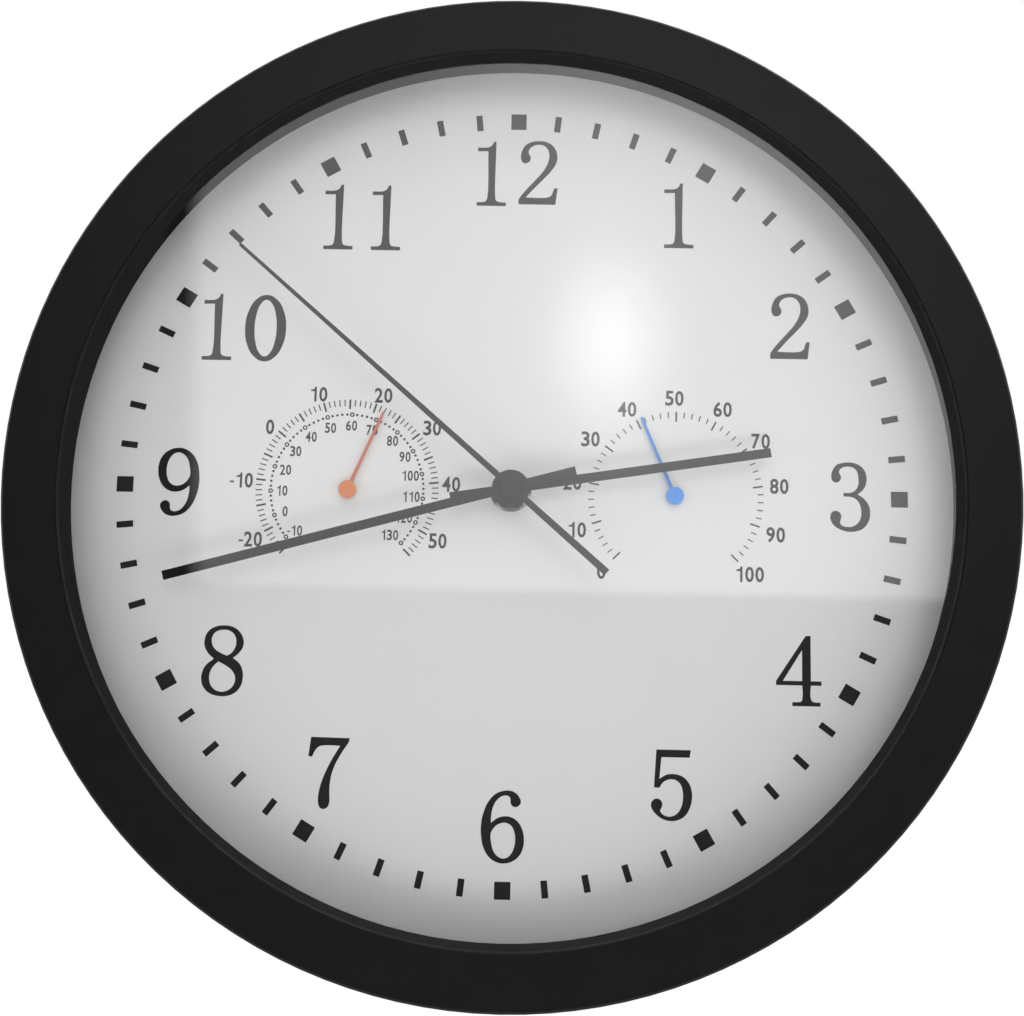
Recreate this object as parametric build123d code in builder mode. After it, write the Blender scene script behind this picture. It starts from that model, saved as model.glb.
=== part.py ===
from build123d import *
from math import cos, dist, radians, sin
import os

# A round wall clock with a thermometer and a hygrometer set into its dial.
# Millimetres. The origin is on the hands' axis, on the wall. The dial faces -Y and +Z is up.
# Heights count from the wall towards the viewer, and angles on the dial count clockwise from 12 o'clock.
os.makedirs("parts", exist_ok=True)

# Overall sizes
clock_radius = 150.0
movement_wall_gap = 2.3
dial_room = 15.8
running_clearance = 0.05
seat_clearance = 0.02
body_clearance = 0.3
overrun = 1.0

# Frame
skirt_wall = 2.4
skirt_draft = 1.4
face_wall = 2.4
face_width = 16.6
face_edge = 0.9
lip_slope_width = 1.8
lip_depth = 4.2
sleeve_wall = 1.8
boss_radius = 3.2
boss_depth = 14.0
boss_pilot_radius = 1.2
boss_end_wall = 2.0

# Glass, retainer ring and dial card
glass_thickness = 2.0
glass_margin = 6.7
retainer_play = 0.2
retainer_wall = 1.4
card_thickness = 0.4
bush_hole_clearance = 0.15
arbor_hole_radius = 1.2

# Dial plate
plate_thickness = 2.2
plate_edge_gap = 0.6
rib_height = 1.8
rib_wall = 1.6
rib_end_gap = 2.0
plate_rib_count = 6
screw_count = 4
screw_hole_radius = 1.7
screw_head_radius = 2.6
screw_head_height = 1.8
screw_shank_radius = 1.15
screw_length = 9.0
screw_first_angle = 45.0

# Hanger bracket
hanger_gauge = 1.0
hanger_width = 44.0
hanger_depth = 20.0
hanger_foot = 9.0
hanger_bend_radius = 1.2
hanger_inset = 41.6
hanger_wall_gap = 2.0
keyhole_entry_radius = 4.5
keyhole_slot_radius = 2.3
keyhole_slot_length = 8.0
keyhole_drop = 3.5
rivet_radius = 1.4
rivet_head_radius = 2.8
rivet_head_height = 0.8

# Movement case
case_corner = 3.0
case_wall = 1.2
case_floor = 1.4
case_split = 8.0
cushion_thickness = 0.6
cushion_radius = 12.0
bush_radius = 4.0
bush_length = 6.2
washer_thickness = 0.5
washer_radius = 6.35
nut_flats = 11.0
nut_height = 2.2
gear_room_below = 10.8
gear_room_above = 26.8
post_side = 3.0
bay_wall = 1.0
bearing_depth = 0.8
plate_gap = 0.2

# Cell and contacts
cell_radius = 7.25
cell_body_length = 49.3
cell_nub_radius = 2.75
cell_nub_length = 1.0
cell_edge = 0.8
cell_clearance = 0.25
cell_floor_gap = 0.15
cell_proud = 0.05
contact_gauge = 0.4
contact_width = 6.0
contact_spring_rise = 1.4
contact_nub_rise = 1.06
contact_tail = 3.0
contact_lane = 1.2
contact_notch = 0.9
contact_spring_radius = 2.4
contact_spring_taper = 25.0

# Gear train
third_teeth = 45
third_leaves = 6
centre_teeth = 48
second_teeth = 36
second_leaves = 6
intermediate_teeth = 30
intermediate_leaves = 6
rotor_leaves = 6
cannon_leaves = 12
motion_teeth = 36
motion_leaves = 9
hour_teeth = 36
knob_leaves = 12
third_distance = 10.88
third_direction = 150.0
second_module = 0.5
intermediate_direction = 25.0
rotor_module = 0.56
rotor_direction = 100.0
motion_distance = 9.6
motion_direction = -5.0
knob_direction = -10.0
wheel_root_share = 0.50
wheel_addendum_share = 0.85
wheel_dedendum_share = 1.25
leaf_root_share = 0.42
leaf_addendum_share = 0.80
leaf_dedendum_share = 1.35

# Levels inside the movement, each the face nearer the wall, counted from the case's inner back
wheel_thickness = 0.8
motion_thickness = 1.0
rotor_magnet_level = 1.7
magnet_height = 2.0
magnet_radius = 2.9
stator_level = 2.5
stator_thickness = 1.0
intermediate_level = 4.1
second_level = 5.5
third_level = 6.9
centre_level = 8.3
train_plate_level = 9.5
train_plate_thickness = 0.8
motion_level = 10.7
hour_level = 12.1
pinion_overlap = 0.2
arbor_radius = 0.4
second_arbor_radius = 0.5
minute_arbor_radius = 1.6
hour_pipe_radius = 2.5
knob_arbor_radius = 0.9
knob_radius = 6.0
knob_height = 1.6
knob_flutes = 12
knob_flute_width = 1.2
knob_flute_depth = 0.5
motion_post_radius = 0.7

# Motor
stator_half_length = 11.0
stator_bar_width = 9.4
stator_arm_width = 3.0
stator_gap = 0.4
stator_corner = 1.0
core_pad_half = 1.5
coil_axis_rise = 8.0
coil_radius = 2.8
core_half_width = 1.0
bobbin_flange = 0.8
bobbin_tube_wall = 0.4
bobbin_rim = 0.3

# Circuit board
board_level = 1.1
board_thickness = 0.8
board_wall_gap = 1.2
board_width = 13.0
board_bottom = 9.4
board_top = 12.6
crystal_radius = 1.0
crystal_length = 6.0
board_peg_inset = 2.0
peg_side = 2.0
chip_radius = 2.6
chip_height = 0.8
chip_taper = 40.0

# Hands: each blade's height above the dial, how far its tip stops short of the lip, and the angle that
# the photograph shows
hand_gauge = 0.5
hour_hand_height = 7.2
minute_hand_height = 9.9
second_hand_height = 12.1
hour_hand_angle = 80.9
minute_hand_angle = 254.5
second_hand_angle = 310.9
hour_hand_short = 51.4
hour_hand_tail = 18.7
hour_hand_width = 2.8
hour_boss_radius = 5.8
minute_hand_short = 23.6
minute_hand_tail = 20.4
minute_hand_width = 2.8
minute_boss_radius = 5.3
second_hand_short = 18.9
second_hand_tail = 38.7
second_tip_width = 1.0
second_tail_width = 2.2
second_boss_radius = 3.4
second_boss_height = 1.0
second_boss_sleeve = 1.1
pipe_stand = 0.4
collet_height = 1.2
collet_wall = 0.9
second_sleeve_drop = 1.0
second_boss_edge = 0.3

# Dial instruments
instrument_gap = 2.75
instrument_drop = 0.4
instrument_side = 40.0
instrument_corner = 3.0
instrument_wall = 1.2
instrument_depth = 9.0
instrument_arbor_radius = 0.5
cover_thickness = 1.0
cover_bearing_depth = 0.7
vent_rows = 4
vent_pitch = 6.0
vent_length = 9.0
vent_width = 1.6
vent_offset = 8.0
pointer_height = 1.1
pointer_gauge = 0.4
pointer_hub_radius = 2.7
pointer_hub_height = 1.1
pointer_root_width = 1.1
pointer_tip_width = 0.8
pointer_length = 26.7
thermometer_angle = 23.0
hygrometer_angle = -23.2
coil_strip = 0.2
coil_strip_width = 3.0
coil_turns = 3
coil_points_per_half_turn = 24
coil_pitch = 3.6
coil_post_side = 2.4
pointer_cap = 0.3
instrument_collar_radius = 1.6

# Heights worked out from the sizes above
case_back = movement_wall_gap
inner_back = case_back + case_wall
cell_height = case_back + cell_radius - cell_proud
inner_front = cell_height + cell_radius + cell_floor_gap
case_front = inner_front + case_floor
split_height = case_front - case_split
plate_back = case_front + cushion_thickness
card_back = plate_back + plate_thickness
dial_height = card_back + card_thickness
glass_back = dial_height + dial_room
glass_front = glass_back + glass_thickness
clock_depth = glass_front + lip_depth

# Radii worked out from the rim inwards, and places in the movement's case
skirt_foot_radius = clock_radius - skirt_draft
lip_ridge_radius = clock_radius - face_width
lip_radius = lip_ridge_radius - lip_slope_width
glass_radius = lip_radius + glass_margin
retainer_radius = glass_radius + retainer_play
card_radius = retainer_radius - body_clearance
sleeve_inner = retainer_radius + body_clearance
sleeve_outer = sleeve_inner + sleeve_wall
plate_radius = skirt_foot_radius - skirt_wall - plate_edge_gap
screw_circle_radius = plate_radius - boss_radius
hanger_middle = plate_radius - hanger_inset
motion_module = 2 * motion_distance / (cannon_leaves + motion_teeth)
hour_module = 2 * motion_distance / (motion_leaves + hour_teeth)
third_module = 2 * third_distance / (second_leaves + third_teeth)
centre_module = 2 * third_distance / (third_leaves + centre_teeth)
second_distance = second_module * (second_teeth + intermediate_leaves) / 2
rotor_distance = rotor_module * (intermediate_teeth + rotor_leaves) / 2
knob_distance = motion_module * (motion_teeth + knob_leaves) / 2
gear_low = -gear_room_below
bay_high = gear_low - bay_wall
bay_low = bay_high - 2 * (cell_radius + cell_clearance)
cell_middle = (bay_low + bay_high) / 2
case_low = bay_low - case_wall
case_high = gear_room_above + case_wall
contact_room = 2 * (contact_gauge + seat_clearance) + contact_spring_rise + contact_nub_rise
inner_side = (cell_body_length + cell_nub_length + contact_room) / 2
half_side = inner_side + case_wall
board_left = inner_side - board_wall_gap
board_right = board_left - board_width
instrument_spacing = half_side + instrument_gap + instrument_side / 2


def polar(distance, direction, start=(0, 0)):
    """A place at a distance and an anticlockwise direction from another."""
    return (start[0] + distance * cos(radians(direction)), start[1] + distance * sin(radians(direction)))


centre_spot = (0, 0)
third_spot = polar(third_distance, third_direction)
intermediate_spot = polar(second_distance, intermediate_direction)
rotor_spot = polar(rotor_distance, rotor_direction, intermediate_spot)
motion_spot = polar(motion_distance, motion_direction)
knob_spot = polar(knob_distance, knob_direction, motion_spot)
post_reach = inner_side - post_side / 2 - body_clearance
high_post = gear_room_above - post_side / 2 - body_clearance
low_post = gear_low + post_side / 2 + contact_lane
post_spots = [(-post_reach, high_post), (post_reach, high_post), (post_reach, low_post)]


def facing(height, spot=(0, 0), clockwise=0):
    """The drawing plane that the viewer sees at a height above the wall, centred on a spot."""
    x_way = (cos(radians(clockwise)), 0, -sin(radians(clockwise)))
    return Plane(origin=(spot[0], -height, spot[1]), x_dir=x_way, z_dir=(0, -1, 0))


def section(upward=0):
    """The drawing plane of a section seen from above: x to the right, y as the height above the wall."""
    return Plane(origin=(0, 0, upward), x_dir=(1, 0, 0), z_dir=(0, 0, -1))


def across(sideways, height, rise):
    """The drawing plane that faces right, centred on a place inside: x is the height, and y is up."""
    return Plane(origin=(sideways, -height, rise), x_dir=(0, -1, 0), z_dir=(1, 0, 0))


def mate_turn(direction, turn, teeth, mate_teeth):
    """The angle of one tooth of the mate whose gap faces this wheel's tooth along a direction."""
    return direction + 180 + (direction - turn) * teeth / mate_teeth + 180 / mate_teeth


def tooth_corners(teeth, module, turn, shares):
    """The outline of a disc with pointed teeth, one of them centred on the angle turn."""
    root_share, addendum_share, dedendum_share = shares
    root = module * (teeth / 2 - dedendum_share)
    tip = module * (teeth / 2 + addendum_share)
    pitch = 360 / teeth
    corners = []
    for tooth in range(teeth):
        middle = turn + tooth * pitch
        corners.append(polar(root, middle - root_share * pitch / 2))
        corners.append(polar(tip, middle))
        corners.append(polar(root, middle + root_share * pitch / 2))
    return corners


def add_teeth(spot, low, high, teeth, module, turn, shares):
    """A wheel or a pinion between two heights, added to the open part."""
    with BuildSketch(facing(low, spot)) as outline:
        with BuildLine():
            Polyline(tooth_corners(teeth, module, turn, shares), close=True)
        make_face()
    extrude(outline.sketch, amount=high - low)


def add_rod(spot, low, high, radius):
    """A round rod along the hands' axis, added to the open part."""
    with BuildSketch(facing(low, spot)) as outline:
        Circle(radius)
    extrude(outline.sketch, amount=high - low)


def cut_bore(spot, low, high, radius):
    """A round hole along the hands' axis, cut from the open part."""
    with BuildSketch(facing(low, spot)) as outline:
        Circle(radius)
    extrude(outline.sketch, amount=high - low, mode=Mode.SUBTRACT)


def add_block(low, high, left, right, bottom, top, corner=0):
    """A block between two heights, added to the open part."""
    with BuildSketch(facing(low, ((left + right) / 2, (bottom + top) / 2))) as outline:
        if corner:
            RectangleRounded(right - left, top - bottom, corner)
        else:
            Rectangle(right - left, top - bottom)
    extrude(outline.sketch, amount=high - low)


def add_post(spot, low, high, side):
    """A square post along the hands' axis, added to the open part."""
    add_block(low, high, spot[0] - side / 2, spot[0] + side / 2, spot[1] - side / 2, spot[1] + side / 2)


def cut_block(low, high, left, right, bottom, top):
    """A rectangular pocket between two heights, cut from the open part."""
    with BuildSketch(facing(low, ((left + right) / 2, (bottom + top) / 2))) as outline:
        Rectangle(right - left, top - bottom)
    extrude(outline.sketch, amount=high - low, mode=Mode.SUBTRACT)


def blade_corners(length, tail, tip_width, tail_width):
    """The outline of a straight tapered blade that points up from the axis."""
    half_tip, half_tail = tip_width / 2, tail_width / 2
    return [(-half_tail, -tail), (half_tail, -tail), (half_tip, length), (-half_tip, length)]


# Frame: one moulded rim. Its section is a channel open to the wall, and its bosses stand in the channel
face_back = clock_depth - face_wall
skirt_inner = skirt_foot_radius - skirt_wall
screw_angles = [90 - screw_first_angle - number * 360 / screw_count for number in range(screw_count)]
boss_places = [polar(screw_circle_radius, angle) for angle in screw_angles]
with BuildPart() as frame:
    with BuildSketch(section()):
        with BuildLine():
            Polyline(
                (skirt_foot_radius, 0),
                (clock_radius, clock_depth - face_edge),
                (clock_radius - face_edge, clock_depth),
                (lip_ridge_radius, clock_depth),
                (lip_radius, glass_front),
                (sleeve_inner, glass_front),
                (sleeve_inner, card_back),
                (sleeve_outer, card_back),
                (sleeve_outer, face_back),
                (skirt_inner, face_back),
                (skirt_inner, 0),
                close=True,
            )
        make_face()
    revolve(axis=Axis.Y)
    with BuildSketch(facing(card_back)):
        with Locations(*boss_places):
            Circle(boss_radius)
        Circle(sleeve_inner + sleeve_wall / 2, mode=Mode.SUBTRACT)
    extrude(amount=boss_depth)
    with BuildSketch(facing(card_back)):
        with Locations(*boss_places):
            Circle(boss_pilot_radius)
    extrude(amount=boss_depth - boss_end_wall, mode=Mode.SUBTRACT)
frame.part.label = "frame"
export_step(frame.part, "parts/frame.step")

# Glass: a flat disc that rests against the lip from behind
with BuildPart() as glass:
    with BuildSketch(facing(glass_back)):
        Circle(glass_radius)
    extrude(amount=glass_thickness)
glass.part.label = "glass"
export_step(glass.part, "parts/glass.step")

# Retainer ring: the black wall between the dial and the glass, which holds the glass against the lip
with BuildPart() as retainer_ring:
    with BuildSketch(facing(dial_height)):
        Circle(retainer_radius)
        Circle(retainer_radius - retainer_wall, mode=Mode.SUBTRACT)
    extrude(amount=glass_back - dial_height)
retainer_ring.part.label = "retainer_ring"
export_step(retainer_ring.part, "parts/retainer_ring.step")

# Dial card, with holes for the movement's bush and the two instrument arbors
instrument_spots = [(-instrument_spacing, -instrument_drop), (instrument_spacing, -instrument_drop)]
bush_hole_radius = bush_radius + bush_hole_clearance
with BuildPart() as dial_card:
    with BuildSketch(facing(card_back)):
        Circle(card_radius)
        Circle(bush_hole_radius, mode=Mode.SUBTRACT)
        with Locations(*instrument_spots):
            Circle(arbor_hole_radius, mode=Mode.SUBTRACT)
    extrude(amount=card_thickness)
dial_card.part.label = "dial_card"
export_step(dial_card.part, "parts/dial_card.step")

# Dial plate: the moulded disc behind the card. Low ribs on its back locate the movement and the instruments
rib_back = plate_back - rib_height
case_middle = (0, (case_low + case_high) / 2)
case_width = 2 * half_side
case_tall = case_high - case_low
pocket_width = case_width + 2 * body_clearance
pocket_tall = case_tall + 2 * body_clearance
socket_side = instrument_side + 2 * body_clearance
rib_inner = instrument_spacing + socket_side / 2 + rib_wall + rib_end_gap
rib_outer = sleeve_inner - rib_end_gap
hanger_half = hanger_width / 2
rivet_column = hanger_half + hanger_foot / 2
rivet_spots = [(side * rivet_column, hanger_middle) for side in (-1, 1)]
with BuildPart() as dial_plate:
    with BuildSketch(facing(plate_back)):
        Circle(plate_radius)
    extrude(amount=plate_thickness)
    with BuildSketch(facing(rib_back)):
        with PolarLocations((rib_inner + rib_outer) / 2, plate_rib_count):
            Rectangle(rib_outer - rib_inner, rib_wall)
    extrude(amount=rib_height)
    with BuildSketch(facing(rib_back)):
        with Locations(case_middle):
            Rectangle(pocket_width + 2 * rib_wall, pocket_tall + 2 * rib_wall)
        with Locations(*instrument_spots):
            Rectangle(socket_side + 2 * rib_wall, socket_side + 2 * rib_wall)
            Rectangle(socket_side, socket_side, mode=Mode.SUBTRACT)
        with Locations(case_middle):
            Rectangle(pocket_width, pocket_tall, mode=Mode.SUBTRACT)
    extrude(amount=rib_height)
    with BuildSketch(facing(plate_back)):
        Circle(bush_hole_radius)
        with Locations(*instrument_spots):
            Circle(arbor_hole_radius)
        with Locations(*boss_places):
            Circle(screw_hole_radius)
        with Locations(*rivet_spots):
            Circle(rivet_radius + seat_clearance)
    extrude(amount=plate_thickness, mode=Mode.SUBTRACT)
dial_plate.part.label = "dial_plate"
export_step(dial_plate.part, "parts/dial_plate.step")

# Plate screws: self-tapping screws through the plate into the frame's bosses
with BuildPart() as plate_screws:
    with BuildSketch(facing(plate_back - screw_head_height)):
        with Locations(*boss_places):
            Circle(screw_head_radius)
    extrude(amount=screw_head_height)
    with BuildSketch(facing(plate_back)):
        with Locations(*boss_places):
            Circle(screw_shank_radius)
    extrude(amount=screw_length)
plate_screws.part.label = "plate_screws"
export_step(plate_screws.part, "parts/plate_screws.step")

# Hanger bracket: a folded steel strip that stands on the plate and carries the keyhole near the wall
hanger_line_inset = hanger_gauge / 2
with BuildPart() as hanger_bracket:
    with BuildSketch(section(hanger_middle + hanger_depth / 2)):
        with BuildLine():
            FilletPolyline(
                (-hanger_half - hanger_foot, plate_back - hanger_line_inset),
                (-hanger_half, plate_back - hanger_line_inset),
                (-hanger_half, hanger_wall_gap + hanger_line_inset),
                (hanger_half, hanger_wall_gap + hanger_line_inset),
                (hanger_half, plate_back - hanger_line_inset),
                (hanger_half + hanger_foot, plate_back - hanger_line_inset),
                radius=hanger_bend_radius,
            )
        trace(line_width=hanger_gauge)
    extrude(amount=hanger_depth)
    keyhole_spot = (0, hanger_middle - keyhole_drop)
    with BuildSketch(facing(hanger_wall_gap - overrun, keyhole_spot)):
        Circle(keyhole_entry_radius)
        with Locations((0, keyhole_slot_length / 2)):
            SlotCenterToCenter(keyhole_slot_length, 2 * keyhole_slot_radius, rotation=90)
    extrude(amount=hanger_gauge + 2 * overrun, mode=Mode.SUBTRACT)
    with BuildSketch(facing(plate_back - hanger_gauge - overrun)):
        with Locations(*rivet_spots):
            Circle(rivet_radius + seat_clearance)
    extrude(amount=hanger_gauge + 2 * overrun, mode=Mode.SUBTRACT)
hanger_bracket.part.label = "hanger_bracket"
export_step(hanger_bracket.part, "parts/hanger_bracket.step")

with BuildPart() as hanger_rivets:
    with BuildSketch(facing(plate_back - hanger_gauge - rivet_head_height)):
        with Locations(*rivet_spots):
            Circle(rivet_head_radius)
    extrude(amount=rivet_head_height)
    with BuildSketch(facing(plate_back - hanger_gauge)):
        with Locations(*rivet_spots):
            Circle(rivet_radius)
    extrude(amount=hanger_gauge + plate_thickness)
hanger_rivets.part.label = "hanger_rivets"
export_step(hanger_rivets.part, "parts/hanger_rivets.step")

# Movement case: a front half with the threaded bush, and a back half with the open battery bay
train_plate_back = inner_back + train_plate_level
train_plate_front = train_plate_back + train_plate_thickness
bore_radius = arbor_radius + running_clearance
second_bore_radius = second_arbor_radius + running_clearance
with BuildPart() as movement_front_case:
    add_block(split_height, case_front, -half_side, half_side, case_low, case_high, case_corner)
    cut_block(split_height, inner_front, -inner_side, inner_side, gear_low, gear_room_above)
    cut_block(split_height, inner_front, -inner_side, inner_side, bay_low, bay_high)
    add_rod(centre_spot, case_front, case_front + bush_length, bush_radius)
    cut_bore(centre_spot, inner_front, case_front + bush_length, hour_pipe_radius + running_clearance)
    for spot in post_spots:
        add_post(spot, train_plate_front, inner_front, post_side)
    add_rod(motion_spot, train_plate_front + plate_gap, inner_front, motion_post_radius)
movement_front_case.part.label = "movement_front_case"
export_step(movement_front_case.part, "parts/movement_front_case.step")

stator_back = inner_back + stator_level
board_back = inner_back + board_level
bearing_back = inner_back - bearing_depth
arm_reach = stator_half_length - stator_arm_width / 2
stator_left, stator_right = rotor_spot[0] - arm_reach, rotor_spot[0] + arm_reach
coil_rise = rotor_spot[1] + coil_axis_rise
board_pegs = [
    (-(board_left + board_right) / 2, board_top - board_peg_inset),
    (-(board_left + board_right) / 2, -board_bottom + board_peg_inset),
]
with BuildPart() as movement_back_case:
    add_block(case_back, split_height, -half_side, half_side, case_low, case_high, case_corner)
    cut_block(inner_back, split_height, -inner_side, inner_side, gear_low, gear_room_above)
    cut_block(case_back, split_height, -inner_side, inner_side, bay_low, bay_high)
    for side in (-1, 1):
        edges = sorted([side * inner_side, side * (inner_side - contact_notch)])
        cut_block(inner_back, split_height, edges[0], edges[1], bay_high, gear_low)
    for spot in post_spots:
        add_post(spot, inner_back, train_plate_back, post_side)
    cut_bore(centre_spot, bearing_back, inner_back, second_bore_radius)
    for spot in (third_spot, intermediate_spot, rotor_spot):
        cut_bore(spot, bearing_back, inner_back, bore_radius)
    for spot in board_pegs:
        add_post(spot, inner_back, board_back, peg_side)
    for sideways in (stator_left, stator_right):
        add_post((sideways, rotor_spot[1]), inner_back, stator_back, peg_side)
    cut_bore(knob_spot, case_back, inner_back, knob_arbor_radius + running_clearance)
movement_back_case.part.label = "movement_back_case"
export_step(movement_back_case.part, "parts/movement_back_case.step")

# Train plate: clamped between the posts of both halves, it carries the front ends of the arbors
with BuildPart() as train_plate:
    add_block(
        train_plate_back,
        train_plate_front,
        -inner_side + body_clearance,
        inner_side - body_clearance,
        gear_low + body_clearance,
        gear_room_above - body_clearance,
    )
    cut_bore(centre_spot, train_plate_back, train_plate_front, minute_arbor_radius + running_clearance)
    for spot in (third_spot, intermediate_spot, rotor_spot):
        cut_bore(spot, train_plate_back, train_plate_front, bore_radius)
    cut_bore(knob_spot, train_plate_back, train_plate_front, knob_arbor_radius + body_clearance)
train_plate.part.label = "train_plate"
export_step(train_plate.part, "parts/train_plate.step")

# Cushion washer, fixing washer and fixing nut, which clamp the movement to the plate through the dial
with BuildPart() as cushion_washer:
    with BuildSketch(facing(case_front)):
        Circle(cushion_radius)
        Circle(bush_hole_radius, mode=Mode.SUBTRACT)
    extrude(amount=cushion_thickness)
cushion_washer.part.label = "cushion_washer"
export_step(cushion_washer.part, "parts/cushion_washer.step")

with BuildPart() as fixing_washer:
    with BuildSketch(facing(dial_height)):
        Circle(washer_radius)
        Circle(bush_radius + seat_clearance, mode=Mode.SUBTRACT)
    extrude(amount=washer_thickness)
fixing_washer.part.label = "fixing_washer"
export_step(fixing_washer.part, "parts/fixing_washer.step")

with BuildPart() as fixing_nut:
    with BuildSketch(facing(dial_height + washer_thickness)):
        RegularPolygon(nut_flats / 2, 6, major_radius=False)
        Circle(bush_radius + seat_clearance, mode=Mode.SUBTRACT)
    extrude(amount=nut_height)
fixing_nut.part.label = "fixing_nut"
export_step(fixing_nut.part, "parts/fixing_nut.step")

# Motor: a two-pole magnet in the stator's hole, and a coil on the core that closes the stator
wheel_shares = (wheel_root_share, wheel_addendum_share, wheel_dedendum_share)
leaf_shares = (leaf_root_share, leaf_addendum_share, leaf_dedendum_share)
magnet_back = inner_back + rotor_magnet_level
magnet_front = magnet_back + magnet_height
arbor_back = bearing_back + plate_gap / 2
arbor_front = train_plate_front - plate_gap / 2
with BuildPart() as rotor_magnet:
    add_rod(rotor_spot, magnet_back, magnet_front, magnet_radius)
    cut_bore(rotor_spot, magnet_back, magnet_front, arbor_radius + seat_clearance)
rotor_magnet.part.label = "rotor_magnet"
export_step(rotor_magnet.part, "parts/rotor_magnet.step")

intermediate_back = inner_back + intermediate_level
intermediate_front = intermediate_back + wheel_thickness
with BuildPart() as rotor_pinion:
    add_rod(rotor_spot, arbor_back, arbor_front, arbor_radius)
    pinion_front = intermediate_front + pinion_overlap
    add_teeth(rotor_spot, magnet_front, pinion_front, rotor_leaves, rotor_module, 0, leaf_shares)
rotor_pinion.part.label = "rotor_pinion"
export_step(rotor_pinion.part, "parts/rotor_pinion.step")

stator_front = stator_back + stator_thickness
with BuildPart() as stator:
    with BuildSketch(facing(stator_back, rotor_spot)):
        RectangleRounded(2 * stator_half_length, stator_bar_width, stator_corner)
        for side in (-1, 1):
            with Locations((side * arm_reach, (coil_axis_rise + core_pad_half) / 2)):
                Rectangle(stator_arm_width, coil_axis_rise + core_pad_half)
        Circle(magnet_radius + stator_gap, mode=Mode.SUBTRACT)
    extrude(amount=stator_thickness)
stator.part.label = "stator"
export_step(stator.part, "parts/stator.step")

core_front = stator_front + stator_thickness
core_height = (stator_front + core_front) / 2
with BuildPart() as coil_core:
    with BuildSketch(facing(stator_front, (rotor_spot[0], coil_rise))):
        Rectangle(2 * stator_half_length, 2 * core_half_width)
        for side in (-1, 1):
            with Locations((side * arm_reach, 0)):
                Rectangle(stator_arm_width, 2 * core_pad_half)
    extrude(amount=stator_thickness)
coil_core.part.label = "coil_core"
export_step(coil_core.part, "parts/coil_core.step")

bobbin_half = stator_half_length - stator_arm_width - body_clearance
bobbin_left, bobbin_right = rotor_spot[0] - bobbin_half, rotor_spot[0] + bobbin_half
tube_deep = stator_thickness + 2 * (seat_clearance + bobbin_tube_wall)
tube_tall = 2 * (core_half_width + seat_clearance + bobbin_tube_wall)
flange_side = 2 * (coil_radius + bobbin_rim)
with BuildPart() as coil_bobbin:
    with BuildSketch(across(bobbin_left, core_height, coil_rise)):
        Rectangle(tube_deep, tube_tall)
    extrude(amount=2 * bobbin_half)
    flange_places = [bobbin_left, bobbin_right - bobbin_flange]
    with BuildSketch(*[across(sideways, core_height, coil_rise) for sideways in flange_places]):
        Rectangle(flange_side, flange_side)
    extrude(amount=bobbin_flange)
    with BuildSketch(across(bobbin_left, core_height, coil_rise)):
        Rectangle(stator_thickness + 2 * seat_clearance, 2 * (core_half_width + seat_clearance))
    extrude(amount=2 * bobbin_half, mode=Mode.SUBTRACT)
coil_bobbin.part.label = "coil_bobbin"
export_step(coil_bobbin.part, "parts/coil_bobbin.step")

with BuildPart() as coil_winding:
    with BuildSketch(across(bobbin_left + bobbin_flange, core_height, coil_rise)):
        Circle(coil_radius)
        Rectangle(tube_deep + 2 * seat_clearance, tube_tall + 2 * seat_clearance, mode=Mode.SUBTRACT)
    extrude(amount=2 * (bobbin_half - bobbin_flange))
coil_winding.part.label = "coil_winding"
export_step(coil_winding.part, "parts/coil_winding.step")

# Gear train from the rotor to the hour hand. Each mate is turned so that its gap faces the driver's tooth
intermediate_turn = mate_turn(rotor_direction + 180, 0, rotor_leaves, intermediate_teeth)
second_turn = mate_turn(intermediate_direction + 180, 0, intermediate_leaves, second_teeth)
third_turn = mate_turn(third_direction, 0, second_leaves, third_teeth)
centre_turn = mate_turn(third_direction + 180, 0, third_leaves, centre_teeth)
motion_turn = mate_turn(motion_direction, 0, cannon_leaves, motion_teeth)
hour_turn = mate_turn(motion_direction + 180, 0, motion_leaves, hour_teeth)
knob_turn = mate_turn(knob_direction, motion_turn, motion_teeth, knob_leaves)

second_back = inner_back + second_level
second_front = second_back + wheel_thickness
third_back = inner_back + third_level
third_front = third_back + wheel_thickness
centre_back = inner_back + centre_level
centre_front = centre_back + wheel_thickness
motion_back = inner_back + motion_level
motion_front = motion_back + motion_thickness
hour_back = inner_back + hour_level
hour_front = hour_back + motion_thickness

with BuildPart() as intermediate_wheel:
    add_rod(intermediate_spot, arbor_back, arbor_front, arbor_radius)
    add_teeth(
        intermediate_spot,
        intermediate_back,
        intermediate_front,
        intermediate_teeth,
        rotor_module,
        intermediate_turn,
        wheel_shares,
    )
    pinion_front = second_front + pinion_overlap
    add_teeth(
        intermediate_spot,
        intermediate_front,
        pinion_front,
        intermediate_leaves,
        second_module,
        0,
        leaf_shares,
    )
intermediate_wheel.part.label = "intermediate_wheel"
export_step(intermediate_wheel.part, "parts/intermediate_wheel.step")

hour_blade_back = dial_height + hour_hand_height
minute_blade_back = dial_height + minute_hand_height
second_blade_back = dial_height + second_hand_height
second_blade_front = second_blade_back + hand_gauge
with BuildPart() as second_wheel:
    add_rod(centre_spot, arbor_back, second_blade_front, second_arbor_radius)
    add_teeth(centre_spot, second_back, second_front, second_teeth, second_module, second_turn, wheel_shares)
    pinion_front = third_front + pinion_overlap
    add_teeth(centre_spot, second_front, pinion_front, second_leaves, third_module, 0, leaf_shares)
second_wheel.part.label = "second_wheel"
export_step(second_wheel.part, "parts/second_wheel.step")

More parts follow.
